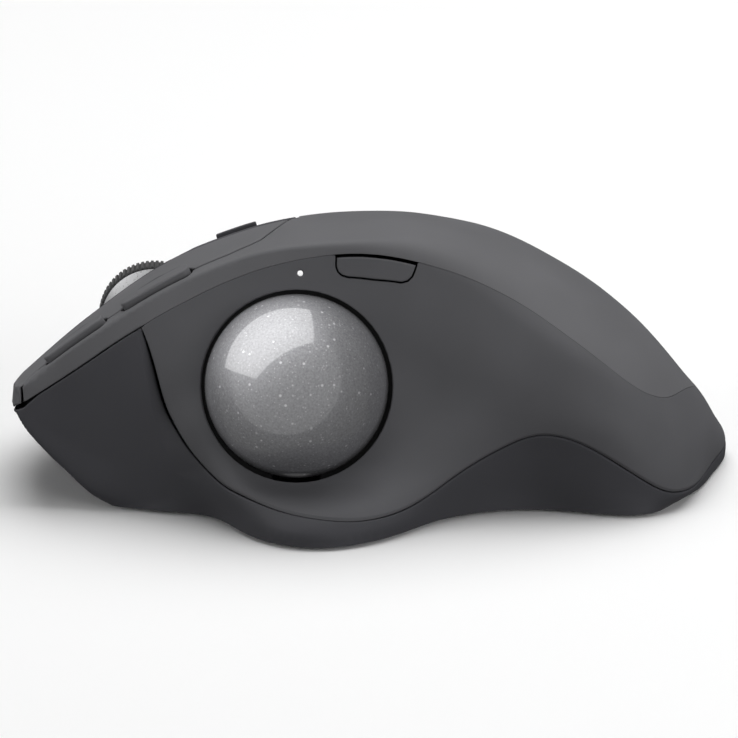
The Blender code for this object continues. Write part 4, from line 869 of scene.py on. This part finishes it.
def plate_piece(name, outline, low, high, edge=0.25):
    """A flat plate over a plan outline, with its top and bottom edges broken."""
    if signed_area(outline) < 0:
        outline = outline[::-1]
    inward = outline_side(outline)
    made = bmesh.new()
    rings = []
    for inset, z in ((edge, low), (0, low + edge), (0, high - edge), (edge, high)):
        rings.append([made.verts.new((x * MM, y * MM, z * MM)) for x, y in outline + inward * inset])
    for a, b in zip(rings, rings[1:]):
        for i in range(len(outline)):
            j = (i + 1) % len(outline)
            made.faces.new((a[i], a[j], b[j], b[i]))
    made.faces.new(rings[0][::-1])
    made.faces.new(rings[-1])
    return finish_mesh(name, made)


def cut(target, tool, operation="DIFFERENCE"):
    """Cuts the tool from the target, or joins it with UNION, and removes the tool."""
    change = target.modifiers.new("cut", "BOOLEAN")
    change.operation, change.solver, change.object = operation, "EXACT", tool
    bpy.context.view_layer.update()
    graph = bpy.context.evaluated_depsgraph_get()
    mesh = bpy.data.meshes.new_from_object(target.evaluated_get(graph))
    target.modifiers.clear()
    old, target.data = target.data, mesh
    bpy.data.meshes.remove(old)
    bpy.data.objects.remove(tool)
    shade_edges(mesh)


# ---------------------------------------------------------------- materials
class Look:
    """A procedural material being built: its shader, and short ways to add the nodes that feed it."""

    def __init__(self, name, color, roughness, metallic=0.0, **sockets):
        self.material = bpy.data.materials.new(name)
        self.material.use_nodes = True
        self.tree = self.material.node_tree
        self.shader = self.tree.nodes["Principled BSDF"]
        self.place = self.add("ShaderNodeTexCoord").outputs["Object"]
        self.set("Base Color", (*color, 1)).set("Roughness", roughness).set("Metallic", metallic)
        for socket, value in sockets.items():
            self.set(socket.replace("_", " "), value)

    def add(self, kind, **values):
        node = self.tree.nodes.new(kind)
        for key, value in values.items():
            if hasattr(node, key):
                setattr(node, key, value)
            else:
                node.inputs[key.replace("_", " ")].default_value = value
        return node

    def link(self, output, target):
        self.tree.links.new(output, target)

    def set(self, socket, value):
        self.shader.inputs[socket].default_value = value
        return self

    def noise(self, scale, detail=3.0, stretch=None):
        node = self.add("ShaderNodeTexNoise", Scale=scale, Detail=detail)
        place = self.place
        if stretch:
            mapping = self.add("ShaderNodeMapping", Scale=stretch)
            self.link(place, mapping.inputs["Vector"])
            place = mapping.outputs["Vector"]
        self.link(place, node.inputs["Vector"])
        return node.outputs["Fac"]

    def cells(self, scale, feature="F1"):
        node = self.add("ShaderNodeTexVoronoi", feature=feature, Scale=scale)
        self.link(self.place, node.inputs["Vector"])
        return node

    def ramp(self, source, stops):
        node = self.add("ShaderNodeValToRGB")
        while len(node.color_ramp.elements) < len(stops):
            node.color_ramp.elements.new(0.5)
        for element, (position, color) in zip(node.color_ramp.elements, stops):
            element.position = position
            element.color = (*color, 1) if isinstance(color, tuple) else (color, color, color, 1)
        self.link(source, node.inputs["Fac"])
        return node.outputs["Color"]

    def math(self, operation, first, second):
        node = self.add("ShaderNodeMath", operation=operation)
        self.link(first, node.inputs[0])
        self.link(second, node.inputs[1])
        return node.outputs[0]

    def colour(self, source, low, high, start=0.3, end=0.7):
        self.link(self.ramp(source, [(start, low), (end, high)]), self.shader.inputs["Base Color"])
        return self

    def rough(self, source, low, high, start=0.35, end=0.65):
        spread = {"From_Min": start, "From_Max": end, "To_Min": low, "To_Max": high}
        node = self.add("ShaderNodeMapRange", **spread)
        self.link(source, node.inputs["Value"])
        self.link(node.outputs["Result"], self.shader.inputs["Roughness"])
        return self

    def bump(self, source, strength, distance=0.05):
        node = self.add("ShaderNodeBump", Strength=strength, Distance=distance * MM)
        if self.shader.inputs["Normal"].links:
            self.link(self.shader.inputs["Normal"].links[0].from_socket, node.inputs["Normal"])
        self.link(source, node.inputs["Height"])
        self.link(node.outputs["Normal"], self.shader.inputs["Normal"])
        return self


def shade(color, by):
    return tuple(c * by for c in color)


CLOUD_SCALE, GRAIN_STRENGTH, GRAIN_DEPTH = 60, 0.22, 0.02
MARK_SCALE, BIG_FLAKES, SMALL_FLAKES, MIST_SCALE, TRACK_SCALE = 3000, 900, 2100, 2600, 450


def moulded(name, color, roughness, grain, variation=0.06, **sockets):
    """Moulded plastic or coating: fine grain in the surface, and slow small changes of tone and gloss."""
    look = Look(name, color, roughness, **sockets)
    slow, fine = look.noise(CLOUD_SCALE, 4), look.noise(grain, 2)
    look.colour(slow, shade(color, 1 - variation), shade(color, 1 + variation))
    look.rough(slow, roughness - 0.04, roughness + 0.05)
    return look.bump(fine, GRAIN_STRENGTH, GRAIN_DEPTH)


BALL_TONE, FLAKE_TONE = (0.47, 0.47, 0.49), (0.93, 0.93, 0.95, 1)


def pearl_look():
    """Polished resin over silver flakes."""
    look = Look("ball_pearl", BALL_TONE, 0.55, 0.86, Coat_Weight=1.0, Coat_Roughness=0.012, Coat_IOR=2.1)
    big, small, mist = look.cells(BIG_FLAKES), look.cells(SMALL_FLAKES), look.noise(MIST_SCALE, 2)
    flakes = []
    for cells, bright, chosen in (  # bright near a cell's middle, in the cells whose tone is chosen
        (big, [(0.16, 1.0), (0.30, 0.0)], [(0.72, 0.0), (0.80, 1.0)]),
        (small, [(0.2, 0.55), (0.36, 0.0)], [(0.66, 0.0), (0.78, 1.0)]),
    ):
        disc = look.ramp(cells.outputs["Distance"], bright)
        flakes.append(look.math("MULTIPLY", disc, look.ramp(cells.outputs["Color"], chosen)))
    base = look.ramp(mist, [(0.3, shade(BALL_TONE, 0.84)), (0.7, shade(BALL_TONE, 1.16))])
    mix = look.add("ShaderNodeMix", data_type="RGBA")
    factor, under, over = mix.inputs[0], mix.inputs[6], mix.inputs[7]
    look.link(look.math("MAXIMUM", *flakes), factor)
    look.link(base, under)
    over.default_value = FLAKE_TONE
    look.link(mix.outputs[2], look.shader.inputs["Base Color"])
    return look


def metal(name, color, roughness, scratch=(1, 1, 1), **sockets):
    """Metal with fine tool marks that run along the axis whose stretch is smallest."""
    look = Look(name, color, roughness, 1.0, **sockets)
    marks = look.noise(MARK_SCALE, 3, stretch=scratch)
    look.rough(marks, roughness * 0.8, roughness * 1.3)
    look.colour(marks, shade(color, 0.93), shade(color, 1.04))
    return look.bump(marks, 0.06, 0.01)


looks = {
    "soft_touch": moulded("soft_touch", (0.112, 0.112, 0.118), 0.58, 5200, Specular_IOR_Level=0.25),
    "side_plastic": moulded("side_plastic", (0.091, 0.091, 0.097), 0.60, 6500, Specular_IOR_Level=0.15),
    "dark_plastic": moulded("dark_plastic", (0.052, 0.052, 0.058), 0.55, 6500, Specular_IOR_Level=0.25),
    "black_plastic": moulded("black_plastic", (0.009, 0.009, 0.010), 0.38, 7000, Specular_IOR_Level=0.4),
    "ball_pearl": pearl_look(),
    "steel": metal("steel", (0.55, 0.55, 0.56), 0.24, scratch=(1, 0.05, 1)),
    "wheel_metal": metal("wheel_metal", (0.62, 0.62, 0.63), 0.34, scratch=(0.05, 1, 1)),
    "plate_steel": moulded("plate_steel", (0.05, 0.05, 0.053), 0.42, 9000, Metallic=0.3),
    "rubber": moulded("rubber", (0.020, 0.020, 0.021), 0.72, 4200, Sheen_Weight=0.15),
    "lens": Look("lens", (0.85, 0.9, 0.95), 0.04, Transmission_Weight=0.9, IOR=1.49),
    "status_light": Look(
        "status_light", (0.95, 0.95, 0.95), 0.25, Emission_Color=(1, 1, 1, 1), Emission_Strength=0.25
    ),
    "battery_wrap": moulded("battery_wrap", (0.05, 0.07, 0.13), 0.3, 2500, Coat_Weight=0.4),
}
for slot, scale, strength in (("lens", 700, 0.02), ("status_light", 1500, 0.05)):
    looks[slot].bump(looks[slot].noise(scale, 2), strength, 0.01)


def board_look():
    """Solder mask over copper tracks."""
    look = Look("circuit_board", (0.02, 0.1, 0.05), 0.35, Coat_Weight=0.5)
    tracks = look.cells(TRACK_SCALE, "DISTANCE_TO_EDGE").outputs["Distance"]
    look.link(
        look.ramp(tracks, [(0.03, (0.035, 0.17, 0.08)), (0.07, (0.012, 0.07, 0.035))]),
        look.shader.inputs["Base Color"],
    )
    return look.bump(tracks, 0.3, 0.03)


looks["circuit_board"] = board_look()


def wear(piece, slot):
    """Gives a piece its only material."""
    piece.data.materials.clear()
    piece.data.materials.append(looks[slot].material)


def dress(piece, slot, body, *replaced):
    """Gives a piece its material, its body and the CAD nodes it stands for."""
    wear(piece, slot)
    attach(piece, body)
    if replaced:
        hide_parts(*replaced)
    return piece


# ---------------------------------------------------------------- casing
def sketch_place(p):
    """(y, height) in the thumb-side sketch plane of skin points."""
    return ((p - SKETCH_ORIGIN) @ SKETCH.T).T


FOLD_HEIGHTS = [8, 14, 20, 25, 30, 36, 40.5]
FOLD_WIDTH = [8.0, 6.0, 4.0, 2.7, 2.1, 1.5, 0.9]
FOLD_DEPTH = [0.0, 0.8, 1.5, 1.9, 1.8, 1.1, 0.0]
front_y, front_height = np.array(PANEL_FRONT[::-1]).T
FOLD_SEAM_Y = np.interp(FOLD_HEIGHTS, front_height, front_y)
FOLD_REAR, FOLD_RIGHT = (16, 8), (-12, 5)  # y and x where the fold starts, and over how far it comes in
RIDGE_ROWS, RIDGE_HEIGHTS = (0.8, 0.92, 1.0, 1.08, 1.2), np.arange(9.0, 40.2, 0.35)  # in widths, and in mm
RIDGE_SOFTNESS = 0.002


def fold_lines(v):
    """Where the fold starts and how wide it is, at these sketch heights."""
    return np.interp(v, FOLD_HEIGHTS, FOLD_SEAM_Y), np.interp(v, FOLD_HEIGHTS, FOLD_WIDTH)


def fold(p):
    """The base with the hollow that runs down in front of the thumb panel's edge."""
    y, v = sketch_place(p)
    seam, width = fold_lines(v)
    t = np.clip((y - seam) / width, 0, 6)
    slope = 0.5 * (1 - t + np.sqrt((1 - t) ** 2 + RIDGE_SOFTNESS)) * np.clip((4 - t) / 2, 0, 1)
    depth = np.interp(v, FOLD_HEIGHTS, FOLD_DEPTH, left=0, right=0) * slope
    ahead, left = (y - FOLD_REAR[0]) / FOLD_REAR[1], (FOLD_RIGHT[0] - p[:, 0]) / FOLD_RIGHT[1]
    near = np.clip(ahead, 0, 1) * np.clip(left, 0, 1)
    return p - OUTWARD * (depth * near)[:, None]


NOSE_Y, NOSE_WALL = (48, 57), 0.35  # where the casing thins, and to what


def thin_front(p):
    """Casing thickness, less at the nose, where the two main buttons swing furthest."""
    return np.interp(p[:, 1], NOSE_Y, [WALL, NOSE_WALL])


def fold_rows():
    """Close points along the fold's ridge, so that it stays sharp."""
    y, width = fold_lines(RIDGE_HEIGHTS)
    return np.concatenate([from_sketch(np.stack([y + t * width, RIDGE_HEIGHTS], -1)) for t in RIDGE_ROWS])


def edge_of(*runs):
    """Lines that meet end to end as one loop: each is (line, half gap) or (line, half gap, lip share)."""
    runs = [(*run, 0)[:3] for run in runs]
    gap, share = (np.concatenate([np.broadcast_to(run[k], len(run[0]))[:-1] for run in runs]) for k in (1, 2))
    return join(*[run[0] for run in runs]), gap, share


def fade(line, start, end):
    """Share along a line that rises from 0 to 1 over the first length and falls over the last, in mm."""
    run = np.append(0, np.cumsum(np.linalg.norm(np.diff(skin(line), axis=0), axis=1)))
    share = np.clip(run / start, 0, 1) * np.clip((run[-1] - run) / end, 0, 1)
    return share * share * (3 - 2 * share)


def notched(seam, notch):
    """The seam line with the part of it inside the notch led round below."""
    hit = np.flatnonzero(within(seam, notch))
    below = within(notch, join(lower_seam, upper_seam[::-1]))
    start = np.flatnonzero(below & ~np.roll(below, 1))[0]
    path = np.roll(notch, -start, axis=0)[: below.sum()]
    if np.linalg.norm(path[0] - seam[hit[0]]) > np.linalg.norm(path[-1] - seam[hit[0]]):
        path = path[::-1]
    return np.concatenate([seam[: hit[0]], path, seam[hit[-1] + 1 :]])


PANEL_GAP, TOP_GAP, STRIP_GAP, BUTTON_GAP, NOSE_GAP = 0.09, 0.02, 0.12, 0.25, 0.65  # each side of a seam
NOTCH_ROOM = 0.3  # round the precision button
POST_DEPTH = 1.6  # how far under the skin a main button's post ends
rim_angle = full_turn(300)
skirt = plan_of(rim_angle, rim_radius(rim_angle) - 0.01)
corner_gap = np.interp(skin(strip_seam)[:, 1], [61.5, 64.5], [STRIP_GAP, NOSE_GAP])
base_hole = edge_of(
    (strip_seam, corner_gap), (lower_seam, PANEL_GAP), (right_seam, STRIP_GAP), (nose_right, NOSE_GAP),
    (nose_middle, STRIP_GAP), (nose_left, NOSE_GAP),
)
base = skin_piece("base_side", None, [base_hole], bend=fold, skirt=skirt, ridge=fold_rows(), thick=thin_front)
dress(base, "dark_plastic", "body", "base_housing")

notch_line = notched(upper_seam, grow(precision_notch, NOTCH_ROOM))
lip_share = fade(lower_seam, start=14, end=12)
thumb_edge = edge_of((lower_seam, PANEL_GAP, lip_share), (notch_line[::-1], TOP_GAP, -1))
thumb = skin_piece("thumb_side", thumb_edge, [(ball_loop, 0.0, 0.0), (light_loop, 0.0, 0.0)])
dress(thumb, "side_plastic", "body", "thumb_panel")

shell_edge = edge_of(
    (strip_seam[::-1], STRIP_GAP), (left_seams[-1], BUTTON_GAP), (strip_rear_seam, BUTTON_GAP),
    (right_button_seam[::-1], BUTTON_GAP), (right_seam[::-1], STRIP_GAP), (upper_seam[::-1], TOP_GAP, -1),
)
dress(skin_piece("palm_shell", shell_edge, thick=thin_front), "soft_touch", "body", "top_shell")
key_lines = {
    "left": (left_seams[1], strip_left_seam, nose_left),
    "right": (right_button_seam, strip_right_seam, nose_right[::-1]),
}
for side, lines in key_lines.items():
    key = skin_piece(side + "_key", edge_of(*[(line, BUTTON_GAP) for line in lines]), thick=thin_front)
    dress(key, "soft_touch", side + "_button", side + "_button")
    x, y, high = SWITCHES[side]
    under = top_z(np.array([x, y])).item() - POST_DEPTH
    post = bar(side + "_key_post", 1.4, (x, y, high + SWITCH_NUB + BUTTON_TRAVEL), (x, y, under))
    dress(post, "soft_touch", side + "_button")

strip_edge = edge_of(
    (strip_left_seam, BUTTON_GAP), (nose_middle[::-1], STRIP_GAP), (strip_right_seam[::-1], BUTTON_GAP),
    (strip_rear_seam[::-1], BUTTON_GAP),
)
strip = skin_piece("wheel_strip", strip_edge, [(wheel_slot, 0.0, 0.0), (channel_loop, 0.2, 0.0)])
dress(strip, "dark_plastic", "body", "center_strip")
SMALL_BUTTONS = (  # name, outline, height above the skin, thickness, material
    ("channel", channel_loop, 0.8, 4.2, "dark_plastic"),
    ("forward", bar_loops[0], 1.2, 3.0, "soft_touch"),
    ("back", bar_loops[1], 1.2, 3.0, "soft_touch"),
    ("precision", precision_loop, 0.25, 3.4, "side_plastic"),
)
for name, loop, raised, thick, slot in SMALL_BUTTONS:
    cap = skin_piece(name + "_cap", (loop, 0, 0), raised=raised, thick=thick)
    dress(cap, slot, name + "_button", name + "_button")

light = skin(from_sketch([LIGHT_SPOT]))[0]
dome_rows = ((0, 0), (1, 0), (1, 2.85), (0.8, 3.0), (0.4, 3.06), (0, 3.08))  # share of the radius, height
dome = turned("status_lens", [(LIGHT_RADIUS * r, z) for r, z in dome_rows], light - OUTWARD * 3, OUTWARD, 40)
dress(dome, "status_light", "body", "status_light")


# ---------------------------------------------------------------- ball and its seat
def orb(name, centre, radius, steps):
    """A sphere of even triangles, smooth all over."""
    made = bmesh.new()
    bmesh.ops.create_icosphere(made, subdivisions=steps, radius=radius * MM)
    bmesh.ops.translate(made, vec=(np.array(centre) * MM).tolist(), verts=made.verts)
    return finish_mesh(name, made, 180)


dress(orb("thumb_ball", BALL_CENTRE, BALL_RADIUS, 6), "ball_pearl", "ball", "ball")
CUP_FLOOR_INNER, CUP_FLOOR_OUTER = 166, 167.3  # degrees from the cup's mouth to the hole in its floor
BEARING_TURN, BEARING_LEAN = 50, math.radians(28)
rim_inner, rim_outer = (math.degrees(math.acos(CUP_RIM / radius)) for radius in (CUP_INNER, CUP_OUTER))
wall = arc(CUP_INNER, rim_inner, CUP_FLOOR_INNER, 40) + arc(CUP_OUTER, CUP_FLOOR_OUTER, rim_outer, 40)
cup = turned("ball_seat", wall, BALL_CENTRE, OUTWARD, 144)
ball_x, ball_y, _ = BALL_CENTRE
cut(cup, bar("eject_tool", EJECT_RADIUS + 0.6, (ball_x, ball_y, 1), (ball_x, ball_y, 14), 48))
across = Vector(OUTWARD).orthogonal().normalized()
for i in range(3):
    turn = Matrix.Rotation(math.radians(120 * i + BEARING_TURN), 3, Vector(OUTWARD))
    direction = np.array(turn @ across) * math.cos(BEARING_LEAN) - OUTWARD * math.sin(BEARING_LEAN)
    start, end = BALL_CENTRE + direction * 15, BALL_CENTRE + direction * 22
    cut(cup, bar("pocket_tool", BEARING_RADIUS + 0.35, start, end, 32))
    bead = orb(f"bead_{i + 1}", BALL_CENTRE + direction * BEARING_DISTANCE, BEARING_RADIUS, 3)
    dress(bead, "steel", "body", f"bearing_{i + 1}")
dress(cup, "black_plastic", "body", "ball_cup")


# ---------------------------------------------------------------- scroll wheel
RIBS, RIB_DEPTH, RIB_STEPS = 70, 0.34, 8
GROOVE_HALF, GROOVE_SLOPE = 0.24, 0.10  # shares of a rib's pitch
GROOVE_START, GROOVE_RISE, SIDE_DEPTH = 0.05, 0.6, 0.25  # up the tyre's side, and how deep into that side
TREAD_HALF = 2.3


def ribbed(ring, angle):
    """Cuts the ribs' grooves across a tyre's tread and down its sides."""
    phase = (angle * RIBS / (2 * math.pi)) % 1
    groove = np.clip((GROOVE_HALF - np.abs(phase - 0.5)) / GROOVE_SLOPE, 0, 1)
    radius = np.linalg.norm(ring[..., :2], axis=-1)
    tread = np.clip((radius - (WHEEL_RADIUS - TYRE_THICK) - GROOVE_START) / GROOVE_RISE, 0, 1)
    ring[..., :2] *= (1 - RIB_DEPTH * groove * tread / np.maximum(radius, 1))[..., None]
    ring[..., 2] -= np.sign(ring[..., 2]) * SIDE_DEPTH * groove * tread
    return ring


half, inner, shoulder = TREAD_HALF, WHEEL_RADIUS - TYRE_THICK, 0.4
tread = [(WHEEL_RADIUS - shoulder + r, half - shoulder + z) for r, z in arc(shoulder, 0, 90, 4)]
side = [(inner, half), (inner + 0.35, half)] + tread + [(WHEEL_RADIUS, half * 0.4)]
profile = [(r, -h) for r, h in side] + [(WHEEL_RADIUS, 0)] + [(r, h) for r, h in side[::-1]]
tyre = turned("wheel_tyre", profile, WHEEL_CENTRE, (1, 0, 0), RIBS * RIB_STEPS, shape=ribbed, sharp=40)
dress(tyre, "rubber", "wheel", "scroll_tyre")
face = WHEEL_WIDTH / 2 - 0.25
dish = [
    (1.35, face - 0.9), (2.6, face - 0.9), (2.9, face - 0.6), (3.3, face - 0.55), (3.7, face - 1.0),
    (6.2, face - 0.95), (7.3, face - 0.55), (8.0, face - 0.05), (8.3, face), (8.6, face - 0.15),
    (9.75, half + 0.32), (9.95, half + 0.2), (9.95, half + 0.08), (inner - 0.12, half + 0.06),
]
profile = [(r, -h) for r, h in dish] + [(r, h) for r, h in dish[::-1]]
dress(turned("wheel_disc", profile, WHEEL_CENTRE, (1, 0, 0), 128), "wheel_metal", "wheel", "wheel_hub")
x, y, z = WHEEL_CENTRE
dress(bar("axle_bar", 1.0, (x - 6.9, y, z), (x + 6.9, y, z), 48), "steel", "wheel", "wheel_axle")


# ---------------------------------------------------------------- underside
def plate_outline(grow_by=0.0, step=1.2):
    """The tilt plate's outline, straight along its hinge on the right."""
    points = np.array([
        (-16, 33), (-25, 28.5), (-36, 19.5), (-41.5, 9.5), (-37, 0), (-27, -9), (-20.5, -19), (-19, -30),
        (-20, -43), (-13, -51.5), (2, -56), (17, -53), (27, -44), (31.2, -32), (32, -20), (32, -8), (32, 4),
        (31.4, 16), (27, 27), (16, 33.6), (0, 35),
    ])
    outline = smooth(points, step, closed=True)
    return outline + outline_side(outline) * (-grow_by if signed_area(outline) > 0 else grow_by)


def ball_hole(name, radius, low, high):
    """The tool for a hole straight below the ball."""
    return bar(name, radius, (ball_x, ball_y, low), (ball_x, ball_y, high), 64, 0)


BOSS_TOP = 13.6
floor_angle = full_turn(220)
floor_edge = plan_of(floor_angle, BASE(floor_angle)[0] - 1.0)
tray = plate_piece("base_floor", floor_edge, LIFT + 0.02, FLOOR_TOP, 0.02)
for shift in PLATE_SWING:
    cut(tray, plate_piece("plateau", plate_outline(grow_by=2.4) + [shift, 0], 1.1, PLATEAU_TOP, 0.1), "UNION")
cut(tray, box_piece("hinge_housing", HINGE - [4.4, 12.5, 1.2], HINGE + [3.0, 12.5, 1.8], 0.2), "UNION")
for x, y in SCREW_SPOTS:
    cut(tray, bar("boss", 3.2, (x, y, PLATEAU_TOP - 0.6), (x, y, BOSS_TOP), 32), "UNION")
for shift in PLATE_SWING:
    cut(tray, plate_piece("pocket_tool", plate_outline(grow_by=0.9) + [shift, 0], -2, POCKET_TOP, 0.1))
hx, hy, hz = HINGE
cut(tray, box_piece("lug_slot", (hx - 2.6, hy - 6.7, 2.5), (hx + 2.0, hy + 6.7, 8), 0))
cut(tray, bar("pin_bore", 0.9, HINGE - [0, 11, 0], HINGE + [0, 11, 0], 32, 0))
bore = [(0, 2.9), (2.4, 2.9), (2.4, 5.4), (1.25, 5.4), (1.25, 12.9), (0, 12.9)]
for x, y in SCREW_SPOTS:
    cut(tray, turned("screw_bore", bore, (x, y, 0), (0, 0, 1), 40))
slot_half = (2 * KNOB_HALF + SLIDER_TRAVEL) / 2 + 0.5
sx, sy = SLIDER_CENTRE
cut(tray, box_piece("slider_slot", (sx - slot_half, sy - 2.5, -2), (sx + slot_half, sy + 2.5, 2.6), 0))
cut(tray, ball_hole("eject_hole", EJECT_RADIUS, -2, 9))
dress(tray, "dark_plastic", "body")

plate = plate_piece("foot_plate", plate_outline(), PLATE_LOW, PLATE_HIGH, 0.2)
lug = box_piece("plate_lug", (hx - 1.4, hy - 6, PLATE_HIGH - 0.6), (hx + 1.0, hy + 6, hz + 1.2), 0.3)
cut(plate, lug, "UNION")
cut(plate, bar("lug_bore", 0.95, HINGE - [0, 9, 0], HINGE + [0, 9, 0], 40, 0))
cut(plate, ball_hole("plate_hole", EJECT_RADIUS, -1, 4))
dress(plate, "plate_steel", "plate", "tilt_plate")
pad = plate_piece("foot_pad", plate_outline(grow_by=-2.2), 0, LIFT, 0.15)
cut(pad, ball_hole("pad_hole", EJECT_RADIUS + 0.6, -1, 4))
dress(pad, "rubber", "plate", "desk_pad")
head = [(0, 3.5), (1.75, 3.5), (2.0, 3.75), (2.0, 5.0)]
shank = [(0.9, 5.0), (0.9, 12.3), (0.6, 12.5), (0, 12.5)]
for i, (x, y) in enumerate(SCREW_SPOTS):
    screw = turned(f"screw_{i + 1}", head + shank, (x, y, 0), (0, 0, 1), 40)
    for wide, deep in ((1.1, 0.18), (0.18, 1.1)):
        cut(screw, box_piece("cross", (x - wide, y - deep, 3.2), (x + wide, y + deep, 4.2), 0))
    dress(screw, "steel", "body", f"case_screw_{i + 1}")

off = SLIDER_TRAVEL / 2
low, high = (sx - KNOB_HALF - off, sy - 2.0, 0.9), (sx + KNOB_HALF - off, sy + 2.0, 2.2)
slider = box_piece("power_knob", low, high, 0.3)
for k in range(-2, 3):
    x = sx - off + k * 0.8
    cut(slider, box_piece("grip", (x - 0.18, sy - 1.5, 0.5), (x + 0.18, sy + 1.5, 1.15), 0))
dress(slider, "side_plastic", "power_slider", "power_slider")

socket = box_piece("charge_port", SOCKET_LOW, SOCKET_HIGH, 1.1, 5)
cut(socket, box_piece("port_mouth", SOCKET_LOW + [0.35, 1.2, 0.35], SOCKET_HIGH + [-0.35, 2, -0.35], 0.9, 5))
middle = (SOCKET_LOW + SOCKET_HIGH) / 2
tongue = box_piece(
    "port_tongue", (middle[0] - 2.4, SOCKET_LOW[1] + 1.0, middle[2] - 0.3),
    (middle[0] + 2.4, SOCKET_HIGH[1] - 0.6, middle[2] + 0.3), 0.1,
)
dress(socket, "steel", "body", "charge_socket")
dress(tongue, "black_plastic", "body")

# the pieces inside keep their solids
INNER_PIECES = {
    "lens": ("sensor_lens",),
    "circuit_board": ("sensor_board", "main_board", "button_board"),
    "battery_wrap": ("battery",),
    "steel": ("tilt_pin", "plate_hinge_pin", "plate_magnet_1", "plate_magnet_2"),
    "black_plastic": (
        "ball_sensor", "wheel_cradle", "wheel_bracket", "wheel_encoder", "wheel_switch", "left_switch",
        "right_switch", "power_switch",
    ),
}
for slot, nodes in INNER_PIECES.items():
    for node in nodes:
        wear(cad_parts[node], slot)


# ---------------------------------------------------------------- studio
WORLD_LIGHT, PAPER = 0.12, 0.93
FLOOR_HALF, FLOOR_DROP = 3, 0.0002  # metres, like all that follows
LIT_POINT = Vector(BALL_CENTRE * MM)  # every lamp faces the ball's middle
SOFTBOXES = [  # name, shape, direction, long axis, distance, size, power, whether only reflections see it
    ("key_box", "RECTANGLE", (0.05, 0.50, 0.865), (-0.30, 1.05, -0.65), 0.5, (1.04, 0.73), 3.5, True),
    ("sheen_box", "ELLIPSE", (-1.0, 0.30, 0.50), (0, 0, 1), 0.3, (2.0, 2.0), 2.4, True),
    ("top_box", "RECTANGLE", (0.35, -0.22, 1.0), (1, 0, 0), 0.9, (1.2, 1.2), 10.8, False),
    ("fill_box", "RECTANGLE", (-0.72, -0.68, 0.06), (0, 0, 1), 0.9, (0.8, 0.8), 8.0, False),
    ("front_box", "RECTANGLE", (-0.30, 0.94, 0.12), (0, 0, 1), 0.9, (0.6, 0.6), 3.4, False),
]
CAMERA_TILT, CAMERA_LENS, SENSOR_WIDTH = math.radians(16), 1300.0, 36.0
PICTURE_WIDTH, VIEW_RISE, VIEW_DEPTH = 0.1369, 0.03302, 0.035
CAMERA_AIM = Vector((-0.05, 0.0002, 0.0005))


def studio():
    """A white paper floor, an even sky and five soft lamps."""
    floor_mesh = bpy.data.meshes.new("studio_floor")
    corners = [(-FLOOR_HALF, -FLOOR_HALF, 0), (FLOOR_HALF, -FLOOR_HALF, 0), (FLOOR_HALF, FLOOR_HALF, 0)]
    floor_mesh.from_pydata([*corners, (-FLOOR_HALF, FLOOR_HALF, 0)], [], [(0, 1, 2, 3)])
    floor = placed("studio_floor", floor_mesh)
    floor.location.z = -FLOOR_DROP
    paper = Look("studio_paper", (PAPER, PAPER, PAPER), 0.9, Specular_IOR_Level=0.1)
    floor_mesh.materials.append(paper.material)
    floor.visible_diffuse = floor.visible_glossy = False
    world = bpy.data.worlds.new("studio")
    bpy.context.scene.world = world
    world.use_nodes = True
    sky = world.node_tree.nodes["Background"].inputs
    sky["Color"].default_value, sky["Strength"].default_value = (1, 1, 1, 1), WORLD_LIGHT
    for name, shape, toward, along, distance, size, power, gloss_only in SOFTBOXES:
        lamp = bpy.data.lights.new(name, "AREA")
        lamp.shape, lamp.energy = shape, power
        lamp.size, lamp.size_y = size
        made = placed(name, lamp)
        toward = Vector(toward).normalized()
        across = toward.cross(Vector(along)).normalized()
        turn = Matrix((across.cross(toward), across, toward)).transposed()
        made.matrix_world = Matrix.Translation(LIT_POINT + toward * distance) @ turn.to_4x4()
        made.visible_diffuse, made.visible_glossy = not gloss_only, gloss_only
        made.visible_camera = False


def view():
    """The photograph's view: nearly flat, from the thumb side and a little above."""
    lens = bpy.data.cameras.new("camera")
    lens.lens, lens.sensor_width = CAMERA_LENS, SENSOR_WIDTH
    lens.clip_start, lens.clip_end = 0.5, 50.0
    camera = placed("camera", lens)
    distance = PICTURE_WIDTH / 2 / (SENSOR_WIDTH / 2 / CAMERA_LENS)
    back = Vector((-math.cos(CAMERA_TILT), 0, math.sin(CAMERA_TILT)))
    up = Vector((math.sin(CAMERA_TILT), 0, math.cos(CAMERA_TILT)))
    camera.location = CAMERA_AIM + up * VIEW_RISE - back * VIEW_DEPTH + back * distance
    camera.rotation_euler = back.to_track_quat("Z", "Y").to_euler()
    bpy.context.scene.camera = camera
    bpy.context.scene.view_settings.view_transform = "Standard"


studio()
view()
